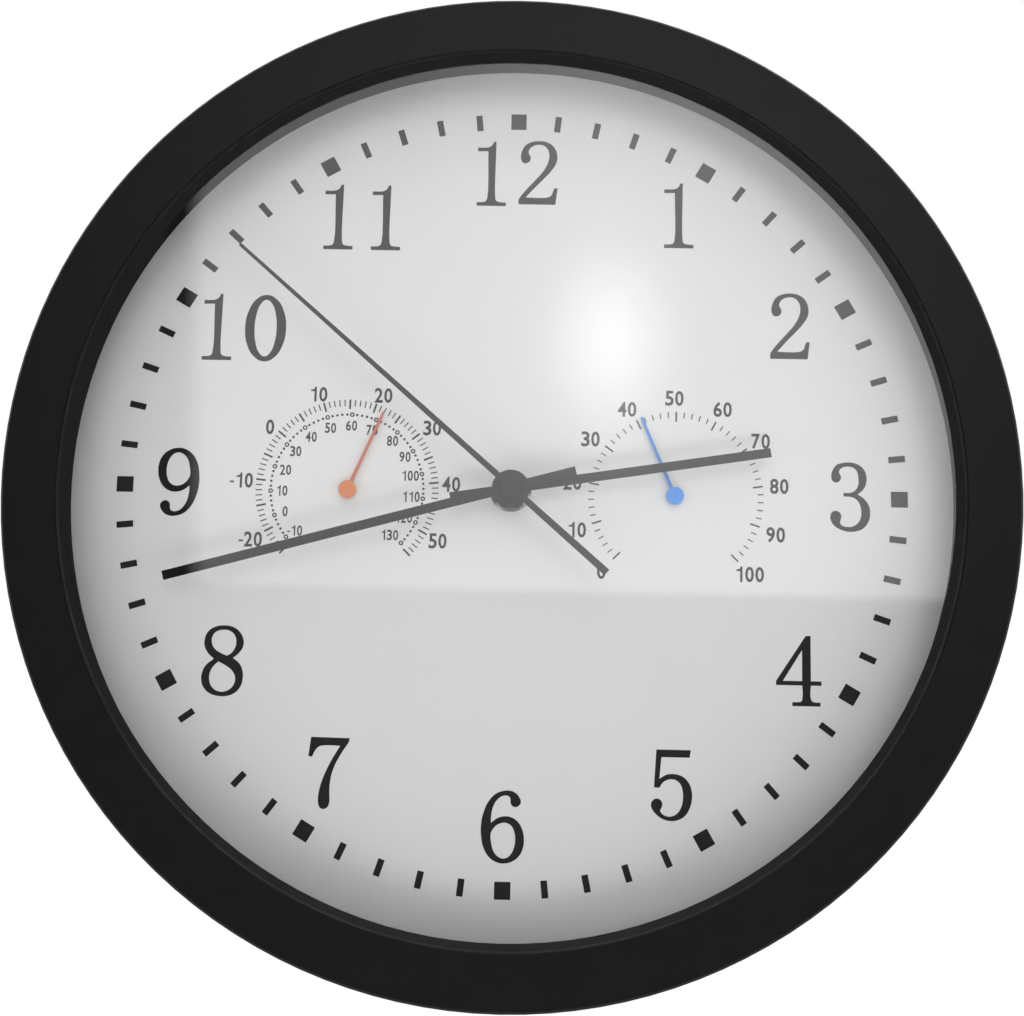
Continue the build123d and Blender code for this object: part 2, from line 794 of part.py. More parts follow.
with BuildPart() as third_wheel:
    add_rod(third_spot, arbor_back, arbor_front, arbor_radius)
    add_teeth(third_spot, third_back, third_front, third_teeth, third_module, third_turn, wheel_shares)
    pinion_front = centre_front + pinion_overlap
    add_teeth(third_spot, third_front, pinion_front, third_leaves, centre_module, 0, leaf_shares)
third_wheel.part.label = "third_wheel"
export_step(third_wheel.part, "parts/third_wheel.step")

with BuildPart() as centre_wheel:
    add_teeth(centre_spot, centre_back, centre_front, centre_teeth, centre_module, centre_turn, wheel_shares)
    cut_bore(centre_spot, centre_back, centre_front, minute_arbor_radius + seat_clearance)
centre_wheel.part.label = "centre_wheel"
export_step(centre_wheel.part, "parts/centre_wheel.step")

minute_pipe_front = minute_blade_back + hand_gauge + pipe_stand
with BuildPart() as minute_arbor:
    add_rod(centre_spot, centre_back, minute_pipe_front, minute_arbor_radius)
    add_teeth(
        centre_spot,
        motion_back - pinion_overlap,
        motion_front + pinion_overlap,
        cannon_leaves,
        motion_module,
        0,
        leaf_shares,
    )
    cut_bore(centre_spot, centre_back, minute_pipe_front, second_bore_radius)
minute_arbor.part.label = "minute_arbor"
export_step(minute_arbor.part, "parts/minute_arbor.step")

motion_pinion_front = hour_front + pinion_overlap / 2
with BuildPart() as motion_wheel:
    add_teeth(motion_spot, motion_back, motion_front, motion_teeth, motion_module, motion_turn, wheel_shares)
    add_teeth(motion_spot, motion_front, motion_pinion_front, motion_leaves, hour_module, 0, leaf_shares)
    cut_bore(motion_spot, motion_back, motion_pinion_front, motion_post_radius + running_clearance)
motion_wheel.part.label = "motion_wheel"
export_step(motion_wheel.part, "parts/motion_wheel.step")

hour_pipe_front = hour_blade_back + hand_gauge + pipe_stand
with BuildPart() as hour_wheel:
    add_teeth(centre_spot, hour_back, hour_front, hour_teeth, hour_module, hour_turn, wheel_shares)
    add_rod(centre_spot, hour_back, hour_pipe_front, hour_pipe_radius)
    cut_bore(centre_spot, hour_back, hour_pipe_front, minute_arbor_radius + running_clearance)
hour_wheel.part.label = "hour_wheel"
export_step(hour_wheel.part, "parts/hour_wheel.step")

knob_front = case_back - plate_gap
with BuildPart() as setting_knob:
    with BuildSketch(facing(knob_front - knob_height, knob_spot)):
        Circle(knob_radius)
        with PolarLocations(knob_radius, knob_flutes):
            Rectangle(2 * knob_flute_depth, knob_flute_width, mode=Mode.SUBTRACT)
    extrude(amount=knob_height)
    add_rod(knob_spot, knob_front, motion_front, knob_arbor_radius)
    add_teeth(
        knob_spot,
        motion_back - pinion_overlap,
        motion_front + pinion_overlap,
        knob_leaves,
        motion_module,
        knob_turn,
        leaf_shares,
    )
setting_knob.part.label = "setting_knob"
export_step(setting_knob.part, "parts/setting_knob.step")

# Circuit board beside the train, with its sealed chip and the quartz crystal's can
board_front = board_back + board_thickness
chip_spot = (-(board_left + board_right) / 2, (board_top - board_bottom) / 2)
with BuildPart() as circuit_board:
    add_block(board_back, board_front, -board_left, -board_right, -board_bottom, board_top)
    with BuildSketch(facing(board_front, chip_spot)):
        Circle(chip_radius)
    extrude(amount=chip_height, taper=chip_taper)
circuit_board.part.label = "circuit_board"
export_step(circuit_board.part, "parts/circuit_board.step")

crystal_middle = -board_right - board_peg_inset
with BuildPart() as quartz_crystal:
    with BuildSketch(section(board_top - board_peg_inset)):
        with Locations((crystal_middle, board_front + crystal_radius)):
            Circle(crystal_radius)
    extrude(amount=crystal_length)
quartz_crystal.part.label = "quartz_crystal"
export_step(quartz_crystal.part, "parts/quartz_crystal.step")

# Cell, and the two sprung contacts at the ends of its bay. Their tails reach the board through the bay wall
cell_left = -inner_side + contact_gauge + contact_spring_rise + seat_clearance
with BuildPart() as cell:
    with BuildSketch(across(cell_left, cell_height, cell_middle)):
        Circle(cell_radius)
    extrude(amount=cell_body_length)
    chamfer(cell.edges().filter_by(GeomType.CIRCLE), length=cell_edge)
    with BuildSketch(across(cell_left + cell_body_length, cell_height, cell_middle)):
        Circle(cell_nub_radius)
    extrude(amount=cell_nub_length)
cell.part.label = "cell"
export_step(cell.part, "parts/cell.step")

tail_back = board_front
tail_front = tail_back + contact_tail
contact_low = cell_middle - contact_width / 2
plate_low = cell_height - contact_width / 2
plate_high = cell_height + contact_width / 2
tab_rise = -board_bottom + board_peg_inset
with BuildPart() as negative_contact:
    end = -inner_side + contact_gauge
    add_block(plate_low, plate_high, -inner_side, end, contact_low, cell_middle + contact_width / 2)
    add_block(tail_back, tail_front, -inner_side, end, contact_low, tab_rise)
    tab_end = -board_left + board_peg_inset
    add_block(tail_back, tail_back + contact_gauge, -inner_side, tab_end, -board_bottom, tab_rise)
    with BuildSketch(across(end, cell_height, cell_middle)):
        Circle(contact_spring_radius)
    extrude(amount=contact_spring_rise, taper=contact_spring_taper)
negative_contact.part.label = "negative_contact"
export_step(negative_contact.part, "parts/negative_contact.step")

run_low = gear_low + seat_clearance
with BuildPart() as positive_contact:
    end = inner_side - contact_gauge
    tab_left = -board_right - board_peg_inset
    tab_right = -board_right - board_peg_inset / 2
    add_block(plate_low, plate_high, end, inner_side, contact_low, cell_middle + contact_width / 2)
    add_block(tail_back, tail_front, end, inner_side, contact_low, run_low + contact_gauge)
    add_block(tail_back, tail_front, tab_left, inner_side, run_low, run_low + contact_gauge)
    add_block(tail_back, tail_back + contact_gauge, tab_left, tab_right, run_low, tab_rise)
    with BuildSketch(across(end - contact_nub_rise, cell_height, cell_middle)):
        Circle(cell_nub_radius)
    extrude(amount=contact_nub_rise)
positive_contact.part.label = "positive_contact"
export_step(positive_contact.part, "parts/positive_contact.step")


# Hands: flat stamped blades, each with a collet below that grips its pipe
def stick_hand(angle, back, length, tail, tip_width, tail_width, boss, collet, bore):
    """A straight hand with a round boss, pointing at an angle clockwise from 12."""
    with BuildPart() as made:
        with BuildSketch(facing(back, centre_spot, angle)):
            with BuildLine():
                Polyline(blade_corners(length, tail, tip_width, tail_width), close=True)
            make_face()
            Circle(boss)
        extrude(amount=hand_gauge)
        add_rod(centre_spot, back - collet_height, back, collet)
        cut_bore(centre_spot, back - collet_height, back + hand_gauge, bore)
    return made


hour_hand = stick_hand(
    hour_hand_angle,
    hour_blade_back,
    lip_radius - hour_hand_short,
    hour_hand_tail,
    hour_hand_width,
    hour_hand_width,
    hour_boss_radius,
    hour_pipe_radius + collet_wall,
    hour_pipe_radius + seat_clearance,
)
hour_hand.part.label = "hour_hand"
export_step(hour_hand.part, "parts/hour_hand.step")

minute_hand = stick_hand(
    minute_hand_angle,
    minute_blade_back,
    lip_radius - minute_hand_short,
    minute_hand_tail,
    minute_hand_width,
    minute_hand_width,
    minute_boss_radius,
    minute_arbor_radius + collet_wall,
    minute_arbor_radius + seat_clearance,
)
minute_hand.part.label = "minute_hand"
export_step(minute_hand.part, "parts/minute_hand.step")

with BuildPart() as second_hand:
    with BuildSketch(facing(second_blade_back, centre_spot, second_hand_angle)):
        reach = lip_radius - second_hand_short
        corners = blade_corners(reach, second_hand_tail, second_tip_width, second_tail_width)
        with BuildLine():
            Polyline(corners, close=True)
        make_face()
        Circle(second_boss_radius)
        Circle(second_boss_sleeve + seat_clearance, mode=Mode.SUBTRACT)
    extrude(amount=hand_gauge)
second_hand.part.label = "second_hand"
export_step(second_hand.part, "parts/second_hand.step")

second_boss_front = second_blade_front + second_boss_height
with BuildPart() as second_boss:
    add_rod(centre_spot, second_blade_front, second_boss_front, second_boss_radius)
    add_rod(centre_spot, second_blade_back - second_sleeve_drop, second_blade_front, second_boss_sleeve)
    cut_bore(
        centre_spot,
        second_blade_back - second_sleeve_drop,
        second_blade_front + seat_clearance,
        second_arbor_radius + seat_clearance,
    )
    chamfer(second_boss.edges().filter_by(GeomType.CIRCLE).sort_by(Axis.Y)[0], length=second_boss_edge)
second_boss.part.label = "second_boss"
export_step(second_boss.part, "parts/second_boss.step")

# Dial instruments: two alike, each a flat box with a coil that turns an arbor and its pointer
cover_back = plate_back - instrument_depth
cover_front = cover_back + cover_thickness
box_inner_side = instrument_side - 2 * instrument_wall
box_floor = plate_back - instrument_wall
coil_middle = (box_floor + cover_front) / 2
coil_low = coil_middle - coil_strip_width / 2
coil_high = coil_middle + coil_strip_width / 2
coil_start = instrument_collar_radius + seat_clearance + coil_strip / 2
coil_end = coil_start + coil_turns * coil_pitch
instrument_bore = instrument_arbor_radius + running_clearance
pointer_back = dial_height + pointer_height
pointer_front = pointer_back + pointer_hub_height


def coil_line(radius):
    """One edge of the spiral strip as half turns, each centred half a pitch from the last."""
    for half in range(2 * coil_turns):
        middle = (0, 0) if half % 2 == 0 else (coil_pitch / 2, 0)
        start = 0 if half % 2 == 0 else 180
        CenterArc(middle, radius + half * coil_pitch / 2, start, 180)


def housing(spot):
    """A box that opens towards the wall, with the arbor's front bearing and the post that holds the coil."""
    with BuildPart() as made:
        with BuildSketch(facing(cover_back, spot)):
            RectangleRounded(instrument_side, instrument_side, instrument_corner)
        extrude(amount=instrument_depth)
        with BuildSketch(facing(cover_back, spot)):
            Rectangle(box_inner_side, box_inner_side)
        extrude(amount=box_floor - cover_back, mode=Mode.SUBTRACT)
        cut_bore(spot, box_floor, plate_back, instrument_bore)
        post = (spot[0] + coil_end + coil_strip / 2 + seat_clearance + coil_post_side / 2, spot[1])
        add_post(post, coil_low, box_floor, coil_post_side)
    return made


def coil(spot):
    """A flat spiral strip from the arbor's collar to the housing's post."""
    with BuildPart() as made:
        with BuildSketch(facing(coil_low, spot)):
            with BuildLine():
                coil_line(coil_start - coil_strip / 2)
                coil_line(coil_start + coil_strip / 2)
                Line((coil_start - coil_strip / 2, 0), (coil_start + coil_strip / 2, 0))
                Line((coil_end - coil_strip / 2, 0), (coil_end + coil_strip / 2, 0))
            make_face()
        extrude(amount=coil_strip_width)
    return made


def cover(spot):
    """The vented lid that closes the housing, with the arbor's back bearing in its inner face."""
    with BuildPart() as made:
        with BuildSketch(facing(cover_back, spot)):
            Rectangle(box_inner_side - 2 * seat_clearance, box_inner_side - 2 * seat_clearance)
            with GridLocations(2 * vent_offset, vent_pitch, 2, vent_rows):
                Rectangle(vent_length, vent_width, mode=Mode.SUBTRACT)
        extrude(amount=cover_thickness)
        cut_bore(spot, cover_front - cover_bearing_depth, cover_front, instrument_bore)
    return made


def arbor(spot):
    """The thin arbor that carries the pointer, with the collar that the coil grips."""
    with BuildPart() as made:
        end = cover_front - cover_bearing_depth + plate_gap / 2
        add_rod(spot, end, pointer_front - pointer_cap, instrument_arbor_radius)
        add_rod(spot, coil_low, coil_high, instrument_collar_radius)
    return made


def pointer(spot, angle):
    """A thin pointer with a round hub, closed at its front."""
    with BuildPart() as made:
        with BuildSketch(facing(pointer_back, spot, angle)):
            with BuildLine():
                corners = blade_corners(pointer_length, 0, pointer_tip_width, pointer_root_width)
                Polyline(corners, close=True)
            make_face()
        extrude(amount=pointer_gauge)
        add_rod(spot, pointer_back, pointer_front, pointer_hub_radius)
        bore_end = pointer_front - pointer_cap + seat_clearance
        cut_bore(spot, pointer_back, bore_end, instrument_arbor_radius + seat_clearance)
    return made


for name, spot, angle in (
    ("thermometer", instrument_spots[0], thermometer_angle),
    ("hygrometer", instrument_spots[1], hygrometer_angle),
):
    pieces = {
        "housing": housing(spot),
        "coil": coil(spot),
        "cover": cover(spot),
        "arbor": arbor(spot),
        "pointer": pointer(spot, angle),
    }
    for kind, piece in pieces.items():
        piece.part.label = f"{name}_{kind}"
        export_step(piece.part, f"parts/{name}_{kind}.step")


def coil_gap():
    """The least gap between the turns of the spiral strip, measured on points along its middle line."""
    points = []
    for half in range(2 * coil_turns):
        middle = (0, 0) if half % 2 == 0 else (coil_pitch / 2, 0)
        start = 0 if half % 2 == 0 else 180
        for step in range(coil_points_per_half_turn):
            angle = start + 180 * step / coil_points_per_half_turn
            points.append(polar(coil_start + half * coil_pitch / 2, angle, middle))
    nearly_a_turn = 3 * coil_points_per_half_turn // 2
    gaps = []
    for number, here in enumerate(points):
        gaps.extend(dist(here, there) for there in points[number + nearly_a_turn :])
    return min(gaps) - coil_strip


print("least gap between the coil's turns, mm:", round(coil_gap(), 3))
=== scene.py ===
# %% [markdown]
# A round wall clock with a thermometer and a hygrometer in its dial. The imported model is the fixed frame:
# every piece here stands where the model says, in metres, with the dial facing -Y and +Z up.
# %% Load the model
import bpy
from math import cos, pi, radians, sin
from mathutils import Matrix, Vector


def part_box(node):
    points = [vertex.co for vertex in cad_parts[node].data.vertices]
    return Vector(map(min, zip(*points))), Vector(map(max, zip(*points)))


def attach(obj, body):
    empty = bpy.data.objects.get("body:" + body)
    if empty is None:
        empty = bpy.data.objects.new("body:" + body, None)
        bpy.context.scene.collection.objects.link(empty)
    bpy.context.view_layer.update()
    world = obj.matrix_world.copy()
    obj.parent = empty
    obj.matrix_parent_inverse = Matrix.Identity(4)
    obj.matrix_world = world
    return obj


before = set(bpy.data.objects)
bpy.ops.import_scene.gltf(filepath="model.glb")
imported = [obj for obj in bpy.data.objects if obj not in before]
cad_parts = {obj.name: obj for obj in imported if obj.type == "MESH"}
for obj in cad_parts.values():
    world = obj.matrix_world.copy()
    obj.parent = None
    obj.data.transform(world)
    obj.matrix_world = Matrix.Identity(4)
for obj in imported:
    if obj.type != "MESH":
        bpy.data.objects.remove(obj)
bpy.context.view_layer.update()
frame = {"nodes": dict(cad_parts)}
nodes = frame["nodes"]
MM = 0.001

# %% [markdown]
# The photographer's camera looks up slightly from below the middle of the dial. Its height and distance
# come from how much of the rim's slopes each side shows, and from the gap between the hands and the marks
# under them.
# %% Camera
film_width, lens_length, nearest_seen = 36.0, 42.55, 0.01
camera_place = Vector((4.5, -394.5, -50.0)) * MM
looks_along = Vector((-0.0108, 0.9928, 0.1196)).normalized()
roughly_up = Vector((-0.0205, -0.1198, 0.9926))

scene = bpy.context.scene
camera_data = bpy.data.cameras.new("camera")
camera_data.sensor_width = film_width
camera_data.lens = lens_length
camera_data.clip_start = nearest_seen
camera = bpy.data.objects.new("camera", camera_data)
scene.collection.objects.link(camera)
picture_right = looks_along.cross(roughly_up).normalized()
picture_up = picture_right.cross(looks_along)
camera_turn = Matrix((picture_right, picture_up, -looks_along)).transposed().to_4x4()
camera.matrix_world = Matrix.Translation(camera_place) @ camera_turn
scene.camera = camera
scene.view_settings.view_transform = "Standard"
print("camera", tuple(round(v, 4) for v in camera_place))

# %% [markdown]
# Node trees are written as plain arithmetic. A Wire is one value in a tree, and sums, products and
# comparisons on it add Math nodes, so a mask such as 1 - edge reads as it would on paper. Nodes adds every
# other kind of node.
# %% Arithmetic on node values
class Wire:
    """A value in a node tree that takes part in arithmetic."""

    def __init__(self, nodes, socket):
        self.nodes, self.socket = nodes, socket

    def maths(self, operation, *others):
        return self.nodes.maths(operation, self, *others)

    def clamped(self, lowest=0.0):
        """The value, held between the lowest one and 1."""
        return self.maths("MAXIMUM", lowest).maths("MINIMUM", 1.0)

    def __add__(self, other):
        return self.nodes.maths("ADD", self, other)

    def __sub__(self, other):
        return self.nodes.maths("SUBTRACT", self, other)

    def __rsub__(self, other):
        return self.nodes.maths("SUBTRACT", other, self)

    def __mul__(self, other):
        return self.nodes.maths("MULTIPLY", self, other)

    def __truediv__(self, other):
        return self.nodes.maths("DIVIDE", self, other)

    def __gt__(self, other):
        return self.nodes.maths("GREATER_THAN", self, other)

    def __lt__(self, other):
        return self.nodes.maths("LESS_THAN", self, other)

    def __abs__(self):
        return self.nodes.maths("ABSOLUTE", self)

    __radd__, __rmul__ = __add__, __mul__


class Nodes:
    """Adds nodes to a tree: settings first, then each socket's value or the wire that feeds it."""

    def __init__(self, tree):
        self.tree = tree

    def add(self, kind, settings=None, sockets=None, out=0):
        node = self.tree.nodes.new(kind)
        for name, value in (settings or {}).items():
            setattr(node, name, value)
        for key, value in (sockets or {}).items():
            if isinstance(value, Wire):
                self.tree.links.new(value.socket, node.inputs[key])
            else:
                node.inputs[key].default_value = value
        return Wire(self, node.outputs[out]) if node.outputs else node

    def maths(self, operation, *values):
        return self.add("ShaderNodeMath", {"operation": operation}, dict(enumerate(values)))


# %% [markdown]
# A finish starts from the place of a point on its piece. Fine noise in that place is the grain that a mould
# or a rolling mill leaves: it shifts the colour and the roughness a little and raises the surface by a few
# microns. Painted pictures would need unwrapped pieces and other files; noise in the piece's own
# coordinates needs neither.
# %% Start of a finish
class Finish(Nodes):
    """A material made of noise and masks in the piece's own coordinates, in metres."""

    def __init__(self, name):
        self.material = bpy.data.materials.new(name)
        self.material.use_nodes = True
        super().__init__(self.material.node_tree)
        self.tree.nodes.clear()
        self.output = self.tree.nodes.new("ShaderNodeOutputMaterial")
        self.place = self.add("ShaderNodeTexCoord", out="Object")
        split = self.add("ShaderNodeSeparateXYZ", None, {0: self.place}).socket.node
        self.x, self.y, self.z = (Wire(self, split.outputs[axis]) for axis in "XYZ")

    def noise(self, size, detail=3.0, stretch=None):
        """Noise from 0 to 1 whose grains are about this many millimetres wide, drawn out along an axis."""
        place = self.place
        if stretch:
            place = self.add("ShaderNodeMapping", None, {"Vector": place, "Scale": stretch})
        values = {"Vector": place, "Scale": 1 / (size * MM), "Detail": detail, "Roughness": 0.6}
        return self.add("ShaderNodeTexNoise", None, values)

    def radius(self, across=0.0, rise=0.0):
        """Distance in millimetres from a line that runs from front to back through a spot."""
        square = (self.x / MM - across).maths("POWER", 2.0) + (self.z / MM - rise).maths("POWER", 2.0)
        return square.maths("SQRT")

    def colour(self, mask, dark, light):
        pair = [tone if isinstance(tone, Wire) else (*tone, 1.0) for tone in (dark, light)]
        return self.add("ShaderNodeMix", {"data_type": "RGBA"}, {0: mask, 6: pair[0], 7: pair[1]}, out=2)

    def relief(self, height, depth):
        """A bump of this depth in millimetres where the height runs from 0 to 1."""
        return self.add("ShaderNodeBump", None, {"Strength": 1.0, "Distance": depth * MM, "Height": height})

    def shaded(self, shader):
        """The material, with this shader on its surface."""
        self.tree.links.new(shader.socket, self.output.inputs["Surface"])
        return self.material

    def surface(self, **sockets):
        names = {
            "colour": "Base Color", "roughness": "Roughness", "metallic": "Metallic", "normal": "Normal",
            "mirror": "Specular IOR Level",
        }
        values = {}
        for key, value in sockets.items():
            values[names[key]] = (*value, 1.0) if isinstance(value, tuple) else value
        return self.shaded(self.add("ShaderNodeBsdfPrincipled", None, values))


def paint(finish, *names):
    """Gives these CAD nodes a finish in every slot that they have."""
    for name in names:
        for slot in nodes[name].material_slots:
            slot.material = finish
        if not nodes[name].material_slots:
            nodes[name].data.materials.append(finish)
    print(finish.name, "on", *names)


# %% [markdown]
# The frame and everything behind the dial is black polystyrene from a mould with a fine spark-eroded face,
# which scatters light and looks matt. Two sizes of noise make the grain. On the frame a narrow bead stands
# on the ridge between the face and the inner slope: the tool's corner is rounded there, and it catches a
# thin line of light. The bead is in the relief, because the ridge of the CAD mesh is sharp and that mesh is
# never changed.
# %% Black moulded plastic
def moulded_black(name, base, roughness, mirror, ridges=()):
    """Plastic of this mean tone. A ridge is a radius and half of its bead's width, in millimetres."""
    grain_size, cloud_size, grain_share, bead_height = 0.35, 9.0, 0.05, 0.3
    plastic = Finish(name)
    grain = plastic.noise(grain_size)
    clouds = plastic.noise(cloud_size, 2.0)
    tone = plastic.colour(clouds, (0.8 * base,) * 3, (1.2 * base,) * 3)
    height = grain * grain_share
    for ridge_radius, half_width in ridges:
        bead = 1 - (abs(plastic.radius() - ridge_radius) / half_width).maths("MINIMUM", 1.0)
        height = height + bead
    relief = plastic.relief(height, bead_height)
    return plastic.surface(colour=tone, mirror=mirror, roughness=roughness + 0.12 * clouds, normal=relief)


face_width, bead_half_width = 16.6, 0.45
face_ridge = (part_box("frame")[1].x / MM - face_width, bead_half_width)
paint(moulded_black("frame_black", base=0.006, roughness=0.38, mirror=0.2, ridges=[face_ridge]), "frame")
# The retainer ring is coloured darker than the frame's same plastic: painted shade for the ring deep under
# the rim.
paint(moulded_black("ring_black_painted_shade", base=0.003, roughness=0.5, mirror=0.1), "retainer_ring")
paint(
    moulded_black("back_black", base=0.018, roughness=0.42, mirror=0.4),
    "dial_plate", "movement_front_case", "movement_back_case", "thermometer_housing", "thermometer_cover",
    "hygrometer_housing", "hygrometer_cover", "setting_knob",
)

# %% [markdown]
# The pane lets light straight through and mirrors a little of it. A glass shader would bend and scatter the
# light that reaches the dial, so a clear shader is mixed with a mirror instead. Each of the pane's two
# faces reflects by Fresnel's law, and the front face here carries both reflections. Faint wiping marks vary
# the share.
# %% Glass
glass_ior, least_reflected, wiping_share = 1.5, 1.9, 0.2
pane = Finish("pane_glass")
wiped = pane.noise(30.0, 2.0, (1.0, 1.0, 0.35))
fresnel = pane.add("ShaderNodeFresnel", None, {"IOR": glass_ior})
front_side = 1 - pane.add("ShaderNodeNewGeometry", out="Backfacing")
reflected = fresnel * front_side * (least_reflected + wiping_share * wiped)
through = pane.add("ShaderNodeBsdfTransparent")
gloss = pane.add("ShaderNodeBsdfGlossy", None, {"Roughness": 0.0})
both = pane.add("ShaderNodeMixShader", None, {0: reflected.maths("MINIMUM", 1.0), 1: through, 2: gloss})
paint(pane.shaded(both), "glass")

# %% [markdown]
# The dial is printed card: white coated board. Short fibres under the coating show as a faint mottle, which
# is noise drawn out along one axis, with wider noise under it.
# %% Dial card
card = Finish("dial_card_white")
fibres = card.noise(0.5, 4.0, (1.0, 1.0, 0.3))
mottle = card.noise(14.0, 2.0)
card_tone = card.colour(0.6 * fibres + 0.4 * mottle, (0.77, 0.77, 0.765), (0.83, 0.83, 0.825))
coating = card.relief(fibres, 0.006)
paint(card.surface(colour=card_tone, roughness=0.62 + 0.15 * fibres, normal=coating), "dial_card")

# %% [markdown]
# Metals differ in how they were worked. Rolled and plated steel has long faint lines, which are noise
# stretched along the sheet. Turned parts have rings, a sine of the distance from the clock's middle, which
# is the axis of the nut, the washer and the arbor. Both kinds have a soft stain.
# %% Metals
def rolled(name, dark, light, roughness, stretch=(0.06, 1.0, 1.0)):
    """Sheet metal, with lines along the axis whose stretch is smallest."""
    metal = Finish(name)
    lines = metal.noise(0.25, 3.0, stretch)
    stain = metal.noise(6.0, 2.0)
    tone = metal.colour(0.5 * lines + 0.5 * stain, dark, light)
    relief = metal.relief(lines, 0.004)
    return metal.surface(colour=tone, metallic=1.0, roughness=roughness + 0.15 * stain, normal=relief)


def turned(name, dark, light, roughness):
    """Metal with the fine rings that a lathe leaves."""
    radians_per_mm = 34.0
    metal = Finish(name)
    rings = (metal.radius() * radians_per_mm).maths("SINE") * 0.5 + 0.5
    stain = metal.noise(2.5, 3.0)
    tone = metal.colour(stain, dark, light)
    relief = metal.relief(rings, 0.003)
    return metal.surface(colour=tone, metallic=1.0, roughness=roughness + 0.12 * stain, normal=relief)


paint(
    rolled("zinc_plated_steel", (0.50, 0.51, 0.53), (0.64, 0.65, 0.66), 0.30),
    "hanger_bracket", "negative_contact", "positive_contact", "thermometer_arbor", "hygrometer_arbor",
)
paint(turned("rivet_aluminium", (0.66, 0.67, 0.68), (0.78, 0.79, 0.80), 0.32), "hanger_rivets")
nickel = turned("nickel_plate", (0.58, 0.56, 0.52), (0.72, 0.70, 0.66), 0.20)
paint(nickel, "fixing_washer", "fixing_nut", "quartz_crystal")
paint(turned("arbor_brass", (0.62, 0.44, 0.18), (0.78, 0.58, 0.27), 0.24), "minute_arbor", "centre_wheel")
iron = rolled("motor_iron", (0.22, 0.22, 0.23), (0.34, 0.34, 0.35), 0.38, (1.0, 0.05, 1.0))
paint(iron, "stator", "coil_core")
bimetal = rolled("coil_bimetal", (0.50, 0.40, 0.24), (0.66, 0.55, 0.36), 0.30, (1.0, 0.08, 1.0))
paint(bimetal, "thermometer_coil", "hygrometer_coil")

# %% [markdown]
# The plate screws have a cross recess: two slots in the head, pressed in, their bottom coloured dark as
# painted shade. All four stand as far across as they are high, so taking the size of x and z alone folds
# them onto one spot, and one cross made there shows on every head.
# %% Screw heads
head_radius, recess_half_width, recess_half_length, recess_depth = 2.6, 0.28, 1.25, 0.35
screw = Finish("plate_screw_steel")
screw_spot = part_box("plate_screws")[1].x / MM - head_radius
across_head = abs(abs(screw.x) / MM - screw_spot)
up_head = abs(abs(screw.z) / MM - screw_spot)
upright_slot = (across_head < recess_half_width) * (up_head < recess_half_length)
level_slot = (up_head < recess_half_width) * (across_head < recess_half_length)
cross = upright_slot.maths("MAXIMUM", level_slot)
speckle = screw.noise(0.3)
# The cross is coloured near black: painted shade in the recess, over the steel's own tone.
steel_with_painted_recess_shade = screw.colour(cross, (0.55, 0.56, 0.57), (0.06, 0.06, 0.06))
pressed = screw.relief(1 - cross, recess_depth)
screw_steel = screw.surface(colour=steel_with_painted_recess_shade, metallic=1.0, roughness=0.3 + 0.2 * speckle, normal=pressed)
paint(screw_steel, "plate_screws")
print("screws stand at", round(screw_spot, 2), "mm each way")

# %% [markdown]
# The wheels and the plate that carries them are white acetal, which is slightly waxy: its gloss comes and
# goes in patches a millimetre wide.
# %% White wheels
acetal = Finish("wheel_acetal")
wax = acetal.noise(1.2, 2.0)
acetal_tone = acetal.colour(wax, (0.72, 0.71, 0.67), (0.80, 0.79, 0.75))
paint(
    acetal.surface(colour=acetal_tone, roughness=0.28 + 0.15 * wax, normal=acetal.relief(wax, 0.01)),
    "train_plate", "third_wheel", "intermediate_wheel", "rotor_pinion", "motion_wheel", "hour_wheel",
    "second_wheel", "coil_bobbin",
)

# %% [markdown]
# The rubber cushion between case and plate is dull and has a bloom of talc. The rotor's magnet is a
# sintered ferrite, dark grey with sparkling grains. Both are one noise each, coarse for the talc and fine
# for the grains.
# %% Rubber and magnet
rubber = Finish("cushion_rubber")
bloom = rubber.noise(0.8, 4.0)
rubber_tone = rubber.colour(bloom, (0.012, 0.012, 0.012), (0.035, 0.034, 0.033))
talc = rubber.relief(bloom, 0.02)
dull_black = rubber.surface(colour=rubber_tone, roughness=0.75 + 0.2 * bloom, normal=talc)
paint(dull_black, "cushion_washer")
ferrite = Finish("magnet_ferrite")
sinter = ferrite.noise(0.12, 4.0)
ferrite_tone = ferrite.colour(sinter, (0.035, 0.035, 0.038), (0.10, 0.10, 0.11))
paint(ferrite.surface(colour=ferrite_tone, metallic=0.3, roughness=0.45 + 0.2 * sinter), "rotor_magnet")

# %% [markdown]
# The coil is enamelled copper wire in close turns. Hundreds of real turns would cost far more triangles
# than they show, so narrow ridges run across the winding in its relief, each a wire thick, and its colour
# darkens between the ridges as painted shade in the grooves.
# %% Coil winding
wire_thickness = 0.16
wire = Finish("enamelled_copper")
turns = (wire.x / MM * (2 * pi / wire_thickness)).maths("SINE") * 0.5 + 0.5
# The copper goes dark between the turns: painted shade in the grooves, full copper on each turn's crest.
copper_with_painted_groove_shade = wire.colour(turns, (0.30, 0.08, 0.025), (0.68, 0.27, 0.10))
wound = wire.relief(turns, 0.05)
paint(wire.surface(colour=copper_with_painted_groove_shade, metallic=0.9, roughness=0.3, normal=wound), "coil_winding")

# %% [markdown]
# The circuit board is brown phenolic laminate, and its chip sits under a drop of black resin. Board and
# drop are one solid in the model, so the drop gets its black by how far forward it stands.
# %% Circuit board
resin_thickness = 0.75
laminate = Finish("board_laminate")
weave = laminate.noise(0.7, 3.0, (0.4, 1.0, 1.0))
resin = laminate.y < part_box("circuit_board")[0].y + resin_thickness * MM
bare_board = laminate.colour(weave, (0.20, 0.11, 0.035), (0.30, 0.18, 0.06))
board_tone = laminate.colour(resin, bare_board, (0.012, 0.012, 0.012))
paint(laminate.surface(colour=board_tone, roughness=0.45 + 0.2 * weave), "circuit_board")

